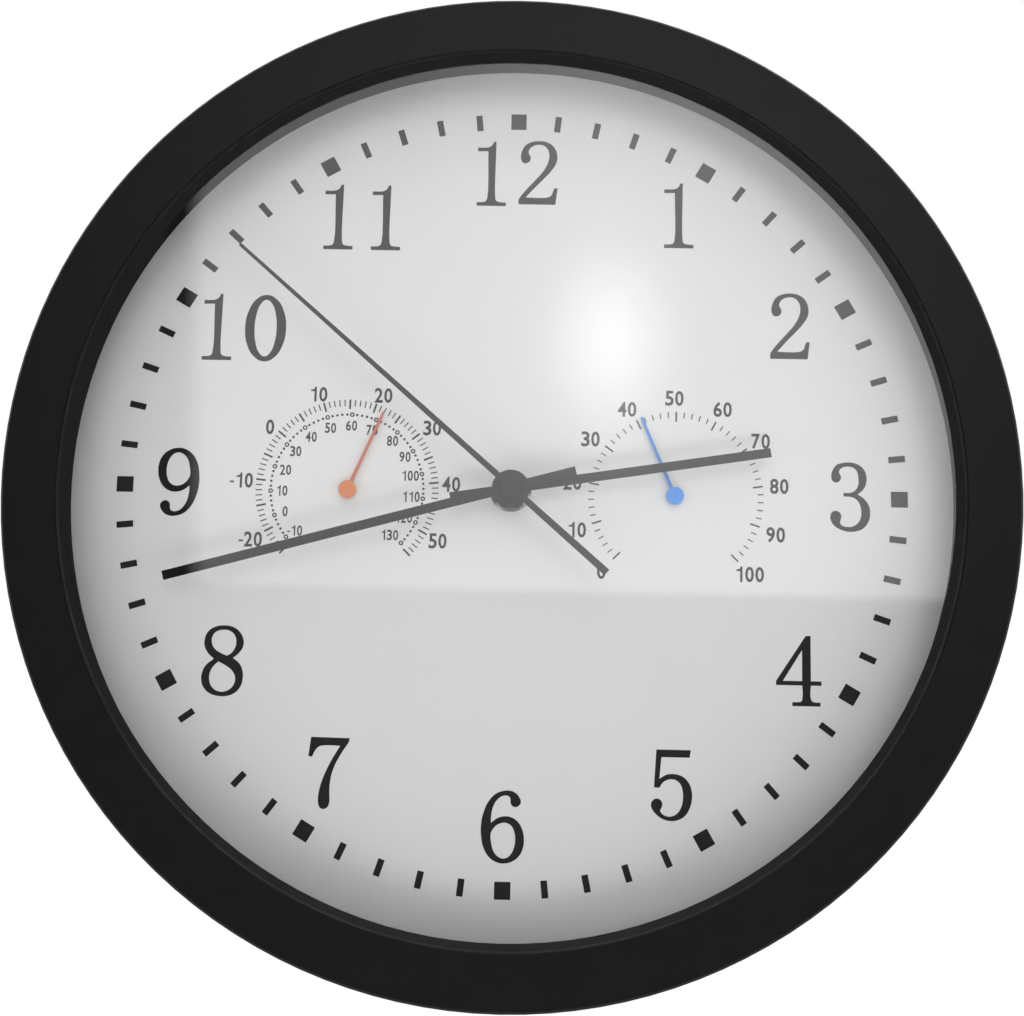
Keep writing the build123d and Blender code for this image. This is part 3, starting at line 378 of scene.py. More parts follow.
# %% [markdown]
# The cell is a plain one: a dark jacket with one copper-coloured band at its button end, and bare steel
# ends. Masks along the cell's length set them apart, so that no piece needs to be cut.
# %% Cell
button_length, foot_length, band_length = 2.2, 1.0, 14.0
jacket = Finish("cell_jacket")
cell_low, cell_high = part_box("cell")
cell_length = (cell_high.x - cell_low.x) / MM
from_button = (cell_high.x - jacket.x) / MM
steel_end = (from_button < button_length).maths("MAXIMUM", from_button > cell_length - foot_length)
band = from_button < band_length
scuffs = jacket.noise(1.5, 4.0, (1.0, 0.3, 0.3))
sleeve_tone = jacket.colour(band, (0.016, 0.016, 0.018), (0.55, 0.27, 0.12))
cell_tone = jacket.colour(steel_end, sleeve_tone, (0.60, 0.60, 0.61))
shine = steel_end.maths("MAXIMUM", 0.6 * band)
scuffed = jacket.relief(scuffs, 0.006)
sleeve = jacket.surface(colour=cell_tone, metallic=shine, roughness=0.28 + 0.15 * scuffs, normal=scuffed)
paint(sleeve, "cell")

# %% [markdown]
# The hands are stamped sheet with black satin paint. Sprayed paint dries with a slight orange peel, which
# noise in the relief gives; a weak mirror keeps them black where the soft box shines on them.
# %% Hands
satin = Finish("hand_satin_black")
peel = satin.noise(0.6, 2.0)
satin_tone = satin.colour(peel, (0.004, 0.004, 0.004), (0.008, 0.008, 0.008))
peeled = satin.relief(peel, 0.008)
hand_black = satin.surface(colour=satin_tone, mirror=0.2, roughness=0.36 + 0.12 * peel, normal=peeled)
paint(hand_black, "hour_hand", "minute_hand", "second_hand", "second_boss")

# %% [markdown]
# The two pointers are thin coloured mouldings with a round hub and a tapering blade. The hub is coloured
# lighter than the blade. A small dimple marks the arbor's end under the hub. Both follow the distance from
# the arbor, so one function serves the two pointers.
# %% Pointers
arbor_across, arbor_rise = 50.75, -0.4
hub_radius, dimple_radius, dimple_depth = 2.8, 0.55, 0.2


def pointer_colour(name, across, hub, blade):
    plastic = Finish(name)
    from_arbor = plastic.radius(across, arbor_rise)
    dimple = 1 - (from_arbor / dimple_radius).maths("MINIMUM", 1.0)
    haze = plastic.noise(0.8, 2.0)
    tone = plastic.colour(from_arbor < hub_radius, blade, hub)
    relief = plastic.relief(0.05 * haze - dimple, dimple_depth)
    return plastic.surface(colour=tone, roughness=0.32 + 0.15 * haze, normal=relief)


orange = pointer_colour("pointer_orange", -arbor_across, (0.72, 0.21, 0.05), (0.56, 0.14, 0.08))
paint(orange, "thermometer_pointer")
blue = pointer_colour("pointer_blue", arbor_across, (0.03, 0.28, 0.85), (0.03, 0.22, 0.68))
paint(blue, "hygrometer_pointer")

# %% [markdown]
# All printing lies on the card as a film of ink. Each mark is a flat shape drawn in millimetres as the
# viewer sees it, x to the right and y up, and is then stood up on the dial. A picture on the card would do
# the same from afar, but shapes stay sharp at any distance and need no other file.
# %% Ink and flat shapes
ink_thickness = 0.03
ink = Finish("dial_ink")
coverage = ink.noise(0.4, 3.0)
ink_tone = ink.colour(coverage, (0.010, 0.010, 0.010), (0.017, 0.017, 0.017))
dial_ink = ink.surface(colour=ink_tone, mirror=0.2, roughness=0.5 + 0.2 * coverage)
ink_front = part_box("dial_card")[0].y - ink_thickness * MM


def joined(shapes):
    """One shape, as points and faces, made of several."""
    points, faces = [], []
    for shape_points, shape_faces in shapes:
        start = len(points)
        points += shape_points
        faces += [[start + corner for corner in face] for face in shape_faces]
    return points, faces


def upright(shapes):
    """Joins flat shapes in millimetres and stands them on the dial, facing the viewer."""
    points, faces = joined(shapes)
    return [(x * MM, ink_front, z * MM) for x, z in points], faces


def new_piece(name, points, faces, finish):
    """A mesh object in one finish, with its place in its mesh."""
    mesh = bpy.data.meshes.new(name)
    mesh.from_pydata(points, [], faces)
    mesh.materials.append(finish)
    mesh.update()
    piece = bpy.data.objects.new(name, mesh)
    scene.collection.objects.link(piece)
    return piece


def printed(name, points, faces):
    """A piece of ink that stays with the dial."""
    piece = new_piece(name, points, faces, dial_ink)
    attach(piece, "clock")
    print(name, len(faces), "faces")


print("ink stands at", round(ink_front / MM, 2), "mm")

# %% [markdown]
# Marks that repeat come from one geometry node tree. It takes the mark that the object holds, sets copies
# of it round a circle at equal steps, turns each one outwards and can leave out every so many for a longer
# kind.
# %% Ring of marks
ring_tree = bpy.data.node_groups.new("ring_of_marks", "GeometryNodeTree")
ring_tree.interface.new_socket("Marks", in_out="OUTPUT", socket_type="NodeSocketGeometry")
for label, kind in (
    ("Mark", "NodeSocketGeometry"),
    ("Count", "NodeSocketInt"),
    ("First angle", "NodeSocketFloat"),
    ("Step angle", "NodeSocketFloat"),
    ("Radius", "NodeSocketFloat"),
    ("Leave out every", "NodeSocketInt"),
    ("Middle", "NodeSocketVector"),
    ("Ink", "NodeSocketMaterial"),
):
    ring_tree.interface.new_socket(label, in_out="INPUT", socket_type=kind)
ring = Nodes(ring_tree)
given = {socket.name: Wire(ring, socket) for socket in ring_tree.nodes.new("NodeGroupInput").outputs}
index = ring.add("GeometryNodeInputIndex")
turn = given["First angle"] + given["Step angle"] * index
outwards = ring.add("ShaderNodeCombineXYZ", None, {0: turn.maths("SINE"), 1: 0.0, 2: turn.maths("COSINE")})
spoke = ring.add(
    "ShaderNodeVectorMath", {"operation": "MULTIPLY_ADD"},
    {0: outwards, 1: given["Radius"], 2: given["Middle"]},
)
line = ring.add("GeometryNodeMeshLine", None, {"Count": given["Count"]})
spots = ring.add("GeometryNodeSetPosition", None, {"Geometry": line, "Position": spoke})
left_out = given["Leave out every"]
in_step = index.maths("MODULO", left_out.maths("MAXIMUM", 1.0)) < 0.5
skipped = in_step * (left_out > 0.5)
turned_by = ring.add("ShaderNodeCombineXYZ", None, {0: 0.0, 1: turn, 2: 0.0})
copies = ring.add(
    "GeometryNodeInstanceOnPoints", None,
    {"Points": spots, "Selection": 1 - skipped, "Instance": given["Mark"], "Rotation": turned_by},
)
real = ring.add("GeometryNodeRealizeInstances", None, {"Geometry": copies})
inked = ring.add("GeometryNodeSetMaterial", None, {"Geometry": real, "Material": given["Ink"]})
ring_tree.links.new(inked.socket, ring_tree.nodes.new("NodeGroupOutput").inputs[0])
print("ring of marks has", len(ring_tree.nodes), "nodes")

# %% [markdown]
# Each row of marks is one object that holds its first mark and runs the tree. Its result is taken as a
# plain mesh and printed on the dial, because the export drops copies that exist only in a modifier.
# %% Rows of marks
def result_of(holder):
    """The mesh that an object shows when its modifiers or its curve are worked out. The object goes."""
    bpy.context.view_layer.update()
    done = bpy.data.meshes.new_from_object(holder.evaluated_get(bpy.context.evaluated_depsgraph_get()))
    bpy.data.objects.remove(holder)
    return done


def ring_of_marks(name, mark, count, first, step, radius, middle=(0.0, 0.0), leave_out=0):
    """Prints copies of a mark on a circle, with degrees clockwise from the top and millimetres."""
    holder = new_piece(name + "_holder", [(x * MM, 0.0, z * MM) for x, z in mark[0]], mark[1], dial_ink)
    modifier = holder.modifiers.new("ring", "NODES")
    modifier.node_group = ring_tree
    values = {
        "Count": count,
        "First angle": radians(first),
        "Step angle": radians(step),
        "Radius": radius * MM,
        "Leave out every": leave_out,
        "Middle": (middle[0] * MM, ink_front, middle[1] * MM),
        "Ink": dial_ink,
    }
    for item in ring_tree.interface.items_tree:
        if item.in_out == "INPUT" and item.name in values:
            modifier[item.identifier] = values[item.name]
    holder.update_tag()
    done = result_of(holder)
    printed(name, [tuple(v.co) for v in done.vertices], [list(p.vertices) for p in done.polygons])
    bpy.data.meshes.remove(done)


def bar(width, length):
    """A rectangle about its own middle, its length upright."""
    half, end = width / 2, length / 2
    return [(-half, -end), (half, -end), (half, end), (-half, end)], [[0, 1, 2, 3]]


def dot(radius, corners=12):
    """A filled round mark."""
    angles = [2 * pi * i / corners for i in range(corners)]
    return [(radius * cos(angle), radius * sin(angle)) for angle in angles], [list(range(corners))]


def circle(radius, stroke, corners=20):
    """An open round mark, its stroke inside its radius."""
    outer, _ = dot(radius, corners)
    inner, _ = dot(radius - stroke, corners)
    faces = [[i, (i + 1) % corners, corners + (i + 1) % corners, corners + i] for i in range(corners)]
    return outer + inner, faces


# %% [markdown]
# The minute track has a short bar for each minute and a square block for each hour, all on one circle. The
# bars leave out every fifth place, where a block stands.
# %% Minute track
track_radius, mark_length, minute_width, hour_width = 120.4, 5.2, 2.0, 4.9
ring_of_marks(
    "minute_marks", bar(minute_width, mark_length), count=60, first=0, step=6, radius=track_radius,
    leave_out=5,
)
ring_of_marks("hour_marks", bar(hour_width, mark_length), count=12, first=0, step=30, radius=track_radius)

# %% [markdown]
# The numerals are drawn with strong stems and thin joins, as a printer's modern serif face is. Each contour
# is a closed curve through its knots, in millimetres from the numeral's middle; C marks a corner, and the
# curve runs smoothly through every other knot. Curves keep the round strokes smooth with few points to set.
# The zero is two ovals, and the nine is the six turned by half a turn.
# %% Numeral outlines
C = True
numeral_one = [
    [(-5.1, 8.8, C), (-5.1, 7.55, C), (-1.75, 7.65, C), (-1.75, -7.9), (-2.3, -9.1), (-3.4, -9.4),
     (-5.1, -9.45, C), (-5.1, -10.6, C), (4.25, -10.6, C), (4.25, -9.45, C), (2.4, -9.35), (1.2, -8.95),
     (0.8, -7.9), (0.8, 10.85, C), (0, 10.85, C), (-0.4, 9.9), (-1.25, 9.1), (-2.9, 8.8)],
]
numeral_two = [
    [(-6.05, 5.9), (-5.65, 8), (-4.5, 9.9), (-2.6, 10.95), (-0.05, 11.3), (2.55, 10.85), (4.65, 9.2),
     (5.65, 6.35), (5.35, 3.95), (3.95, 1.6), (1.85, -0.9), (-1.2, -4.1), (-4.25, -7.6, C), (1.15, -7.7),
     (3, -7.45), (4.05, -6.65), (4.5, -5.35), (4.9, -4.4, C), (5.95, -4.4, C), (5.25, -9.9, C),
     (-6.5, -9.9, C), (-6.5, -8.25, C), (-4.95, -6.05), (-1.7, -2.3), (1.15, 1.1), (2.65, 3.95),
     (3.1, 6.35), (2.55, 8.6), (1.25, 9.8), (-0.35, 10.1), (-2.15, 9.6), (-3.4, 8.35), (-3.55, 7.15),
     (-3, 6.15), (-3, 4.85), (-3.8, 4), (-4.75, 3.8), (-5.65, 4.35)],
]
numeral_three = [
    [(-5.7, 6.35), (-5.25, 8.25), (-4, 9.9), (-2.1, 10.55), (0, 10.75), (2.35, 10.25), (4.2, 8.9),
     (5.15, 6.75), (5.05, 4.25), (4.15, 2.3), (2.45, 0.8, C), (4.45, -0.65), (5.85, -2.75), (6.2, -5.1),
     (5.65, -7.7), (4, -9.8), (1.65, -10.75), (-0.7, -10.9), (-3.05, -10.25), (-4.9, -9.1), (-6, -7.3),
     (-6.1, -6.05), (-5.6, -4.95), (-4.45, -4.5), (-3.3, -4.95), (-2.7, -6.05), (-2.9, -7.15),
     (-3.15, -8.15), (-2.35, -9.1), (-0.7, -9.45), (1.15, -9.1), (2.6, -7.9), (3.4, -6.05), (3.4, -3.95),
     (2.9, -2.05), (1.9, -0.75), (0.25, -0.05), (-1.95, 0.05, C), (-1.95, 1.2, C), (0, 1.2), (1.65, 2),
     (2.6, 3.65), (2.7, 5.9), (2.25, 8), (1.15, 9.1), (-0.45, 9.45), (-2.1, 9.15), (-3.15, 8.25),
     (-3.2, 7.3), (-2.75, 6.45), (-2.85, 5.3), (-3.65, 4.5), (-4.6, 4.45), (-5.4, 5.05)],
]
numeral_four = [
    [(1.9, 11.05, C), (3.4, 11.05, C), (3.4, -2.65, C), (6.6, -2.65, C), (6.6, -3.95, C), (3.4, -3.95, C),
     (3.4, -8.05), (3.9, -8.8), (4.75, -9), (6.25, -9, C), (6.25, -10.2, C), (-2.3, -10.2, C),
     (-2.3, -9, C), (-0.4, -9), (0.4, -8.8), (0.75, -8.05), (0.75, -3.95, C), (-7.2, -3.95, C),
     (-7.2, -2.7, C)],
    [(-5.1, -2.65, C), (0.75, -2.65, C), (0.75, 6.75, C)],
]
numeral_five = [
    [(-4.95, 10.6, C), (5.5, 10.6, C), (5.1, 8.35, C), (-3.4, 8.35, C), (-4, 1.9, C), (-2.95, 2.6),
     (-1.55, 3.25), (0.35, 3.4), (2.9, 2.75), (4.8, 1), (5.8, -1.6), (5.85, -3.95), (5.25, -6.5),
     (3.85, -8.85), (1.75, -10.15), (-0.35, -10.5), (-2.7, -10.05), (-4.85, -8.65), (-6.15, -7),
     (-6.45, -5.6), (-5.85, -4.4), (-4.7, -3.95), (-3.55, -4.4), (-3.05, -5.6), (-3.3, -6.65),
     (-3.65, -7.45), (-3.1, -8.4), (-1.8, -9.1), (-0.15, -9.1), (1.5, -8.15), (2.65, -6.3), (3.15, -3.95),
     (3.05, -1.6), (2.45, 0.3), (1.25, 1.45), (-0.15, 1.85), (-1.8, 1.55), (-3.2, 0.5), (-3.9, -0.75, C),
     (-5.6, -0.65, C)],
]
numeral_six = [
    [(5.55, 7.4), (5.05, 8.8), (3.9, 10.05), (2, 10.7), (0.4, 10.6), (-1.95, 9.75), (-4.1, 7.55),
     (-5.6, 4.25), (-6.3, 0.75), (-6.2, -3), (-5.35, -6.5), (-3.6, -9.1), (-1.25, -10.5), (0.85, -10.75),
     (3.4, -10.05), (5.55, -8.15), (6.55, -5.6), (6.65, -3), (6, -0.4), (4.6, 1.7), (2.7, 2.85),
     (0.85, 3.1), (-1.25, 2.6), (-3.35, 1.1, C), (-3.3, 3.35), (-2.75, 5.9), (-1.5, 8), (0.3, 9.15),
     (1.8, 9.05), (2.4, 8.25), (2.4, 7.3), (2.8, 6.35), (3.9, 5.85), (5.05, 6.35)],
    [(-3.35, -2.3), (-3, -1.25), (-1.75, 0.3), (-0.1, 1.1), (1.4, 1.1), (2.8, 0.3), (3.75, -1.5),
     (4.05, -3.7), (3.7, -6.2), (2.7, -8.15), (1.1, -9.25), (-0.55, -9.05), (-2.2, -7.55), (-3.1, -4.95)],
]
numeral_seven = [
    [(-5.65, 10.85, C), (6.05, 10.7, C), (6.05, 10.05), (3.7, 6.15), (1.6, 1.9), (0.65, -2.05),
     (0.5, -5.35), (0.65, -7.7), (0.4, -9.35), (-0.3, -10.25), (-1.2, -10.5), (-2.15, -10.15),
     (-2.75, -8.85), (-2.85, -6.75), (-2.4, -3.95), (-1.45, -0.9), (0.65, 3.8), (3.25, 8.35, C),
     (-1.45, 8.4), (-3.1, 8.05), (-4.1, 7.1), (-4.75, 5.9), (-5.15, 4.95, C), (-6.3, 5.1, C)],
]
numeral_eight = [
    [(0.25, 10.95), (2.6, 10.65), (4.7, 9.4), (6, 7.45), (6.35, 5.3), (5.4, 3.1), (3.3, 1.1, C),
     (5.4, -0.65), (6.4, -2.9), (6.55, -5.1), (5.85, -7.7), (4, -9.65), (1.4, -10.5), (-0.7, -10.5),
     (-3.3, -9.8), (-5.25, -8.15), (-6.15, -5.9), (-6.05, -3.7), (-5.05, -1.35), (-2.6, 0.75, C),
     (-4.45, 2.4), (-5.6, 4.5), (-5.65, 6.85), (-4.7, 9.1), (-2.5, 10.55)],
    [(0.25, 9.65), (2.1, 9.25), (3.5, 8), (4.05, 6.15), (3.75, 4.25), (2.7, 2.6), (1.4, 1.75, C),
     (-0.7, 2.6), (-2.6, 3.95), (-3.45, 5.65), (-3.35, 7.55), (-2.25, 9)],
    [(-1.15, -0.05, C), (1.15, -1.25), (3.05, -2.65), (4.1, -4.4), (4.1, -6.3), (3.05, -8.05),
     (1.15, -9.1), (-0.7, -9.1), (-2.6, -8.05), (-3.6, -6.15), (-3.7, -3.95), (-2.8, -1.75)],
]


def oval(half_width, half_height, knots=12):
    turns = [2 * pi * i / knots for i in range(knots)]
    return [(half_width * sin(turn), half_height * cos(turn)) for turn in turns]


numeral_zero = [oval(6.5, 10.8), oval(3.5, 9.2)]
numeral_nine = [[(-knot[0], -knot[1], *knot[2:]) for knot in contour] for contour in numeral_six]
numeral_outlines = [
    numeral_zero, numeral_one, numeral_two, numeral_three, numeral_four, numeral_five, numeral_six,
    numeral_seven, numeral_eight, numeral_nine,
]
print("knots from zero to nine", [sum(len(contour) for contour in outline) for outline in numeral_outlines])

# %% [markdown]
# Blender fills a flat curve by itself and keeps inner contours open as holes. The filled curve becomes a
# mesh before it is put in place, and each numeral is made once and then set where the dial needs it.
# %% Numerals
def meshed(curve):
    """The flat shape, as points and faces, that a curve or a text fills."""
    holder = bpy.data.objects.new("outline", curve)
    scene.collection.objects.link(holder)
    done = result_of(holder)
    points = [(v.co.x, v.co.y) for v in done.vertices]
    faces = [list(p.vertices) if p.normal.z > 0 else list(p.vertices)[::-1] for p in done.polygons]
    bpy.data.meshes.remove(done)
    return points, faces


def filled(outline, steps=4):
    """Fills closed contours, with the inner ones as holes, and gives the flat shape in millimetres."""
    curve = bpy.data.curves.new("outline", "CURVE")
    curve.dimensions, curve.fill_mode, curve.resolution_u = "2D", "BOTH", steps
    for contour in outline:
        spline = curve.splines.new("BEZIER")
        spline.bezier_points.add(len(contour) - 1)
        spline.use_cyclic_u = True
        for knot, place in zip(spline.bezier_points, contour):
            knot.co = (place[0], place[1], 0.0)
            knot.handle_left_type = knot.handle_right_type = "VECTOR" if len(place) == 3 else "AUTO"
    return meshed(curve)


def moved(shape, across, rise, squeeze=1.0, size=1.0):
    """A flat shape at another place and size, and squeezed sideways."""
    return [(across + x * size * squeeze, rise + y * size) for x, y in shape[0]], shape[1]


figures = [filled(outline) for outline in numeral_outlines]
figure_places = [
    (1, 52.1, 89.9), (2, 87.1, 53.8), (3, 105.1, 0.6), (4, 89.2, -53.7), (5, 50.7, -88.4), (6, -0.5, -101.7),
    (7, -53.4, -87.2), (8, -87.3, -54.2), (9, -103.6, 1.0), (1, -93.5, 50.7), (0, -78.8, 50.7),
    (1, -56.5, 87.5), (1, -41.3, 87.5), (1, -7.9, 102.8), (2, 6.9, 102.8),
]
printed("hour_numerals", *upright([moved(figures[value], x, z) for value, x, z in figure_places]))

# %% [markdown]
# The thermometer has two scales about one middle: Celsius outside, with a tick for each degree and a long
# one for every fifth, and Fahrenheit inside, with a dot for every second degree and a circle for every
# tenth. The hygrometer has one scale about its own middle, with a tick for every second step and a long one
# for every tenth. A reading's angle is its distance from the reading at the top, so the marks and the
# numbers share one rule.
# %% Marks of the small scales
thermometer_middle, hygrometer_middle = (-51.05, -0.4), (51.2, -1.0)
celsius_step, fahrenheit_step, percent_step = 3.375, 1.875, 2.7


def celsius(value):
    return (value - 15) * celsius_step


def fahrenheit(value):
    return (value - 59) * fahrenheit_step


def percent(value):
    return (value - 50) * percent_step


ring_of_marks(
    "celsius_ticks", bar(width=0.36, length=2.05), count=81, first=celsius(-25), step=celsius_step,
    radius=27.5, middle=thermometer_middle, leave_out=5,
)
ring_of_marks(
    "celsius_long_ticks", bar(width=0.58, length=3.0), count=17, first=celsius(-25), step=5 * celsius_step,
    radius=27.1, middle=thermometer_middle,
)
ring_of_marks(
    "fahrenheit_dots", dot(radius=0.4), count=71, first=fahrenheit(-10), step=2 * fahrenheit_step,
    radius=23.8, middle=thermometer_middle, leave_out=5,
)
ring_of_marks(
    "fahrenheit_circles", circle(radius=0.75, stroke=0.42), count=15, first=fahrenheit(-10),
    step=10 * fahrenheit_step, radius=23.8, middle=thermometer_middle,
)
ring_of_marks(
    "humidity_ticks", bar(width=0.34, length=1.8), count=51, first=percent(0), step=2 * percent_step,
    radius=26.3, middle=hygrometer_middle, leave_out=5,
)
ring_of_marks(
    "humidity_long_ticks", bar(width=0.5, length=3.1), count=11, first=percent(0), step=10 * percent_step,
    radius=25.75, middle=hygrometer_middle,
)

# %% [markdown]
# The small scales carry plain numbers, narrow and without serifs. Blender's own font has such digits, so
# each is a text turned into a mesh and squeezed to the width of the print. Its figure one is a bare stroke;
# the flag that the printer's has is drawn here. A digit's box is 1 high.
# %% Small digits
digit_width, stroke_added, text_steps = 0.52, 0.022, 3
flagged_one = [
    [(0.30, 0.0, C), (0.44, 0.0, C), (0.44, 1.0, C), (0.33, 1.0, C), (0.27, 0.86), (0.08, 0.80, C),
     (0.08, 0.70, C), (0.30, 0.70, C)],
]


def digit(character):
    """One digit without serifs, brought into a box that is 1 high; the figure one has a flag."""
    if character == "1":
        return filled(flagged_one)
    text = bpy.data.curves.new("digit", "FONT")
    text.body, text.resolution_u, text.offset = character, text_steps, stroke_added
    points, faces = meshed(text)
    left, foot = min(p[0] for p in points), min(p[1] for p in points)
    wide, tall = max(p[0] for p in points) - left, max(p[1] for p in points) - foot
    return [((x - left) / wide * digit_width, (y - foot) / tall) for x, y in points], faces


digits = {character: digit(character) for character in "0123456789"}
print("small digits", {character: len(shape[1]) for character, shape in digits.items()})

# %% [markdown]
# A number is its digits side by side, each as wide as the print allows, with a short bar before it where it
# is below zero. The numbers stand on a circle at their ticks' angles; the printer has nudged some of them
# clear of the marks, so each nudge is kept by the number that it moves.
# %% Small numbers
digit_gap = 0.09
dash_length, dash_stroke, dash_drop, dash_gap = 0.28, 0.12, 0.1, 0.16


def number(value, height, digit_step):
    """A number of this height, with the step from digit to digit given, centred on its own middle."""
    body = str(abs(value))
    squeeze = (digit_step - digit_gap * height) / (digit_width * height)
    shapes = []
    for place, character in enumerate(body):
        across = (place - len(body) / 2) * digit_step + digit_gap / 2 * height
        shapes.append(moved(digits[character], across, -height / 2, squeeze, height))
    if value < 0:
        across = -digit_step * len(body) / 2 - dash_gap * height
        shapes.append(moved(bar(dash_length * height, dash_stroke * height), across, -dash_drop * height))
    return joined(shapes)


def numbers_on_circle(values, angle_of, middle, radius, drop, height, digit_step, nudged):
    """Numbers on a circle, all a little below it, and some of them nudged right and up."""
    shapes = []
    for value in values:
        angle, nudge = radians(angle_of(value)), nudged.get(value, (0.0, 0.0))
        across = middle[0] + radius * sin(angle) + nudge[0]
        rise = middle[1] + radius * cos(angle) - drop + nudge[1]
        shapes.append(moved(number(value, height, digit_step), across, rise))
    return shapes


# %% [markdown]
# The three sets of numbers differ only in their circle, their size and their nudges. Both Celsius and
# humidity are centred on their pointer's arbor, and the inner Fahrenheit numbers on the middle of the marks.
# %% Numbers of the small scales
celsius_numbers = numbers_on_circle(
    range(-20, 60, 10), celsius, (-arbor_across, arbor_rise),
    radius=32.3, drop=0.8, height=4.75, digit_step=3.0,
    nudged={
        -20: (-0.4, 0.0), -10: (-0.4, 0.0), 0: (-0.2, -0.3), 10: (-1.0, 0.0), 20: (0.7, 0.0),
        30: (0.7, 0.3), 50: (-0.1, 0.6),
    },
)
fahrenheit_numbers = numbers_on_circle(
    range(-10, 140, 10), fahrenheit, thermometer_middle,
    radius=20.3, drop=0.0, height=3.3, digit_step=1.9,
    nudged={
        -10: (0.5, -0.2), 80: (0.8, 0.0), 90: (0.5, 0.0), 100: (-0.2, 0.2), 110: (-0.2, 0.2),
        120: (-0.6, 0.0), 130: (-1.1, 0.0),
    },
)
hygrometer_numbers = numbers_on_circle(
    range(0, 110, 10), percent, (arbor_across, arbor_rise),
    radius=31.9, drop=1.2, height=4.8, digit_step=3.1,
    nudged={
        0: (0.2, 0.0), 10: (0.2, 0.0), 20: (-0.2, 0.0), 30: (-0.45, 0.0), 40: (-0.45, 0.0),
        50: (-0.15, 0.3), 60: (0.45, 0.5), 70: (1.0, 0.3), 80: (1.0, 0.0), 90: (1.0, -0.3), 100: (0.7, 0.0),
    },
)
printed("thermometer_numbers", *upright(celsius_numbers + fahrenheit_numbers))
printed("hygrometer_numbers", *upright(hygrometer_numbers))

# %% [markdown]
# The movement's case has signs at the back, printed in white with a soft pad: a plus and a minus above the
# ends of the cell, and a double arrow over the setting knob. The thick ink stands a little above the case,
# so each sign is a low prism on the case's back face.
# %% Shapes of the signs
def prism(outline, foot, height):
    """A closed prism on a face that looks backwards, from a ring of points in millimetres."""
    count = len(outline)
    points = [(x * MM, foot + level, z * MM) for level in (0.0, height * MM) for x, z in outline]
    faces = [list(range(count)), [count + i for i in reversed(range(count))]]
    for i in range(count):
        after = (i + 1) % count
        faces.append([i, count + i, count + after, after])
    return points, faces


def plus(across, rise, arm, stroke):
    a, s = arm / 2, stroke / 2
    outline = [
        (-s, -a), (s, -a), (s, -s), (a, -s), (a, s), (s, s), (s, a), (-s, a), (-s, s), (-a, s), (-a, -s),
        (-s, -s),
    ]
    return [(across + x, rise + z) for x, z in outline]


def minus(across, rise, arm, stroke):
    return [(across + x, rise + z) for x, z in bar(arm, stroke)[0]]


def double_arrow(across, rise, radius, stroke, first, last, steps=14):
    """An arc with a head at each end, its angles in degrees anticlockwise from the right."""
    def spot(distance, angle):
        return across + distance * cos(radians(angle)), rise + distance * sin(radians(angle))

    inner, outer, reach = radius - stroke / 2, radius + stroke / 2, 14.0
    angles = [first + (last - first) * i / steps for i in range(steps + 1)]
    outline = [spot(inner, angle) for angle in reversed(angles)]
    outline += [spot(inner - stroke, first), spot(radius, first - reach), spot(outer + stroke, first)]
    outline += [spot(outer, angle) for angle in angles]
    outline += [spot(outer + stroke, last), spot(radius, last + reach), spot(inner - stroke, last)]
    return outline


# %% [markdown]
# Pad ink is a matt white that lies in slightly uneven patches. The signs take their places from the cell
# and the knob that they explain.
# %% Signs at the back
sign_height, sign_arm, sign_stroke, sign_inset, sign_lift = 0.1, 2.6, 0.6, 1.6, 3.2
arrow_gap, arrow_stroke, arrow_start, arrow_end = 2.0, 0.5, 35, 145
pad_ink = Finish("pad_ink_white")
patches = pad_ink.noise(0.5, 3.0)
pad_tone = pad_ink.colour(patches, (0.42, 0.42, 0.41), (0.55, 0.55, 0.54))
white_signs = pad_ink.surface(colour=pad_tone, roughness=0.5 + 0.2 * patches)

case_back_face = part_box("movement_back_case")[1].y
knob_low, knob_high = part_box("setting_knob")
knob_across = (knob_low.x + knob_high.x) / 2 / MM
knob_rise = (knob_low.z + knob_high.z) / 2 / MM
knob_radius = (knob_high.x - knob_low.x) / 2 / MM
signs_rise = cell_high.z / MM + sign_lift
sign_outlines = [
    plus(cell_high.x / MM - sign_inset, signs_rise, sign_arm, sign_stroke),
    minus(cell_low.x / MM + sign_inset, signs_rise, sign_arm, sign_stroke),
    double_arrow(knob_across, knob_rise, knob_radius + arrow_gap, arrow_stroke, arrow_start, arrow_end),
]
sign_prisms = joined([prism(outline, case_back_face, sign_height) for outline in sign_outlines])
case_signs = new_piece("case_signs", *sign_prisms, white_signs)
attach(case_signs, "clock")
print("knob at", round(knob_across, 1), round(knob_rise, 1), "radius", round(knob_radius, 1))

# %% [markdown]
# A big soft box stands behind the camera and above it. Its picture in the glass is the pale veil over the
# upper part of the dial, with a bright spot where its lamp shines through the cloth. A plain area lamp
# would give one even tone, so the box is a lit sheet whose cloth fades at its edges and glows at the spot.
# Only its front shines.
# %% Soft box
veil_left, veil_right, veil_foot, veil_top, veil_distance = -0.405, 0.53, 0.012, 0.72, -1.0
left_lean, left_place, left_softness, foot_softness, softness = 0.057, 0.363, 0.024, 0.012, 0.07
spot_across, spot_rise, spot_half_width, spot_half_height, spot_level = 0.096, 0.300, 0.0574, 0.088, 3.4
left_level, right_gain, right_start, right_reach = 1.5, 0.5, -0.15, 0.225
high_gain, high_start, high_reach = 0.4, 0.42, 0.12
white = (1.0, 1.0, 1.0, 1.0)

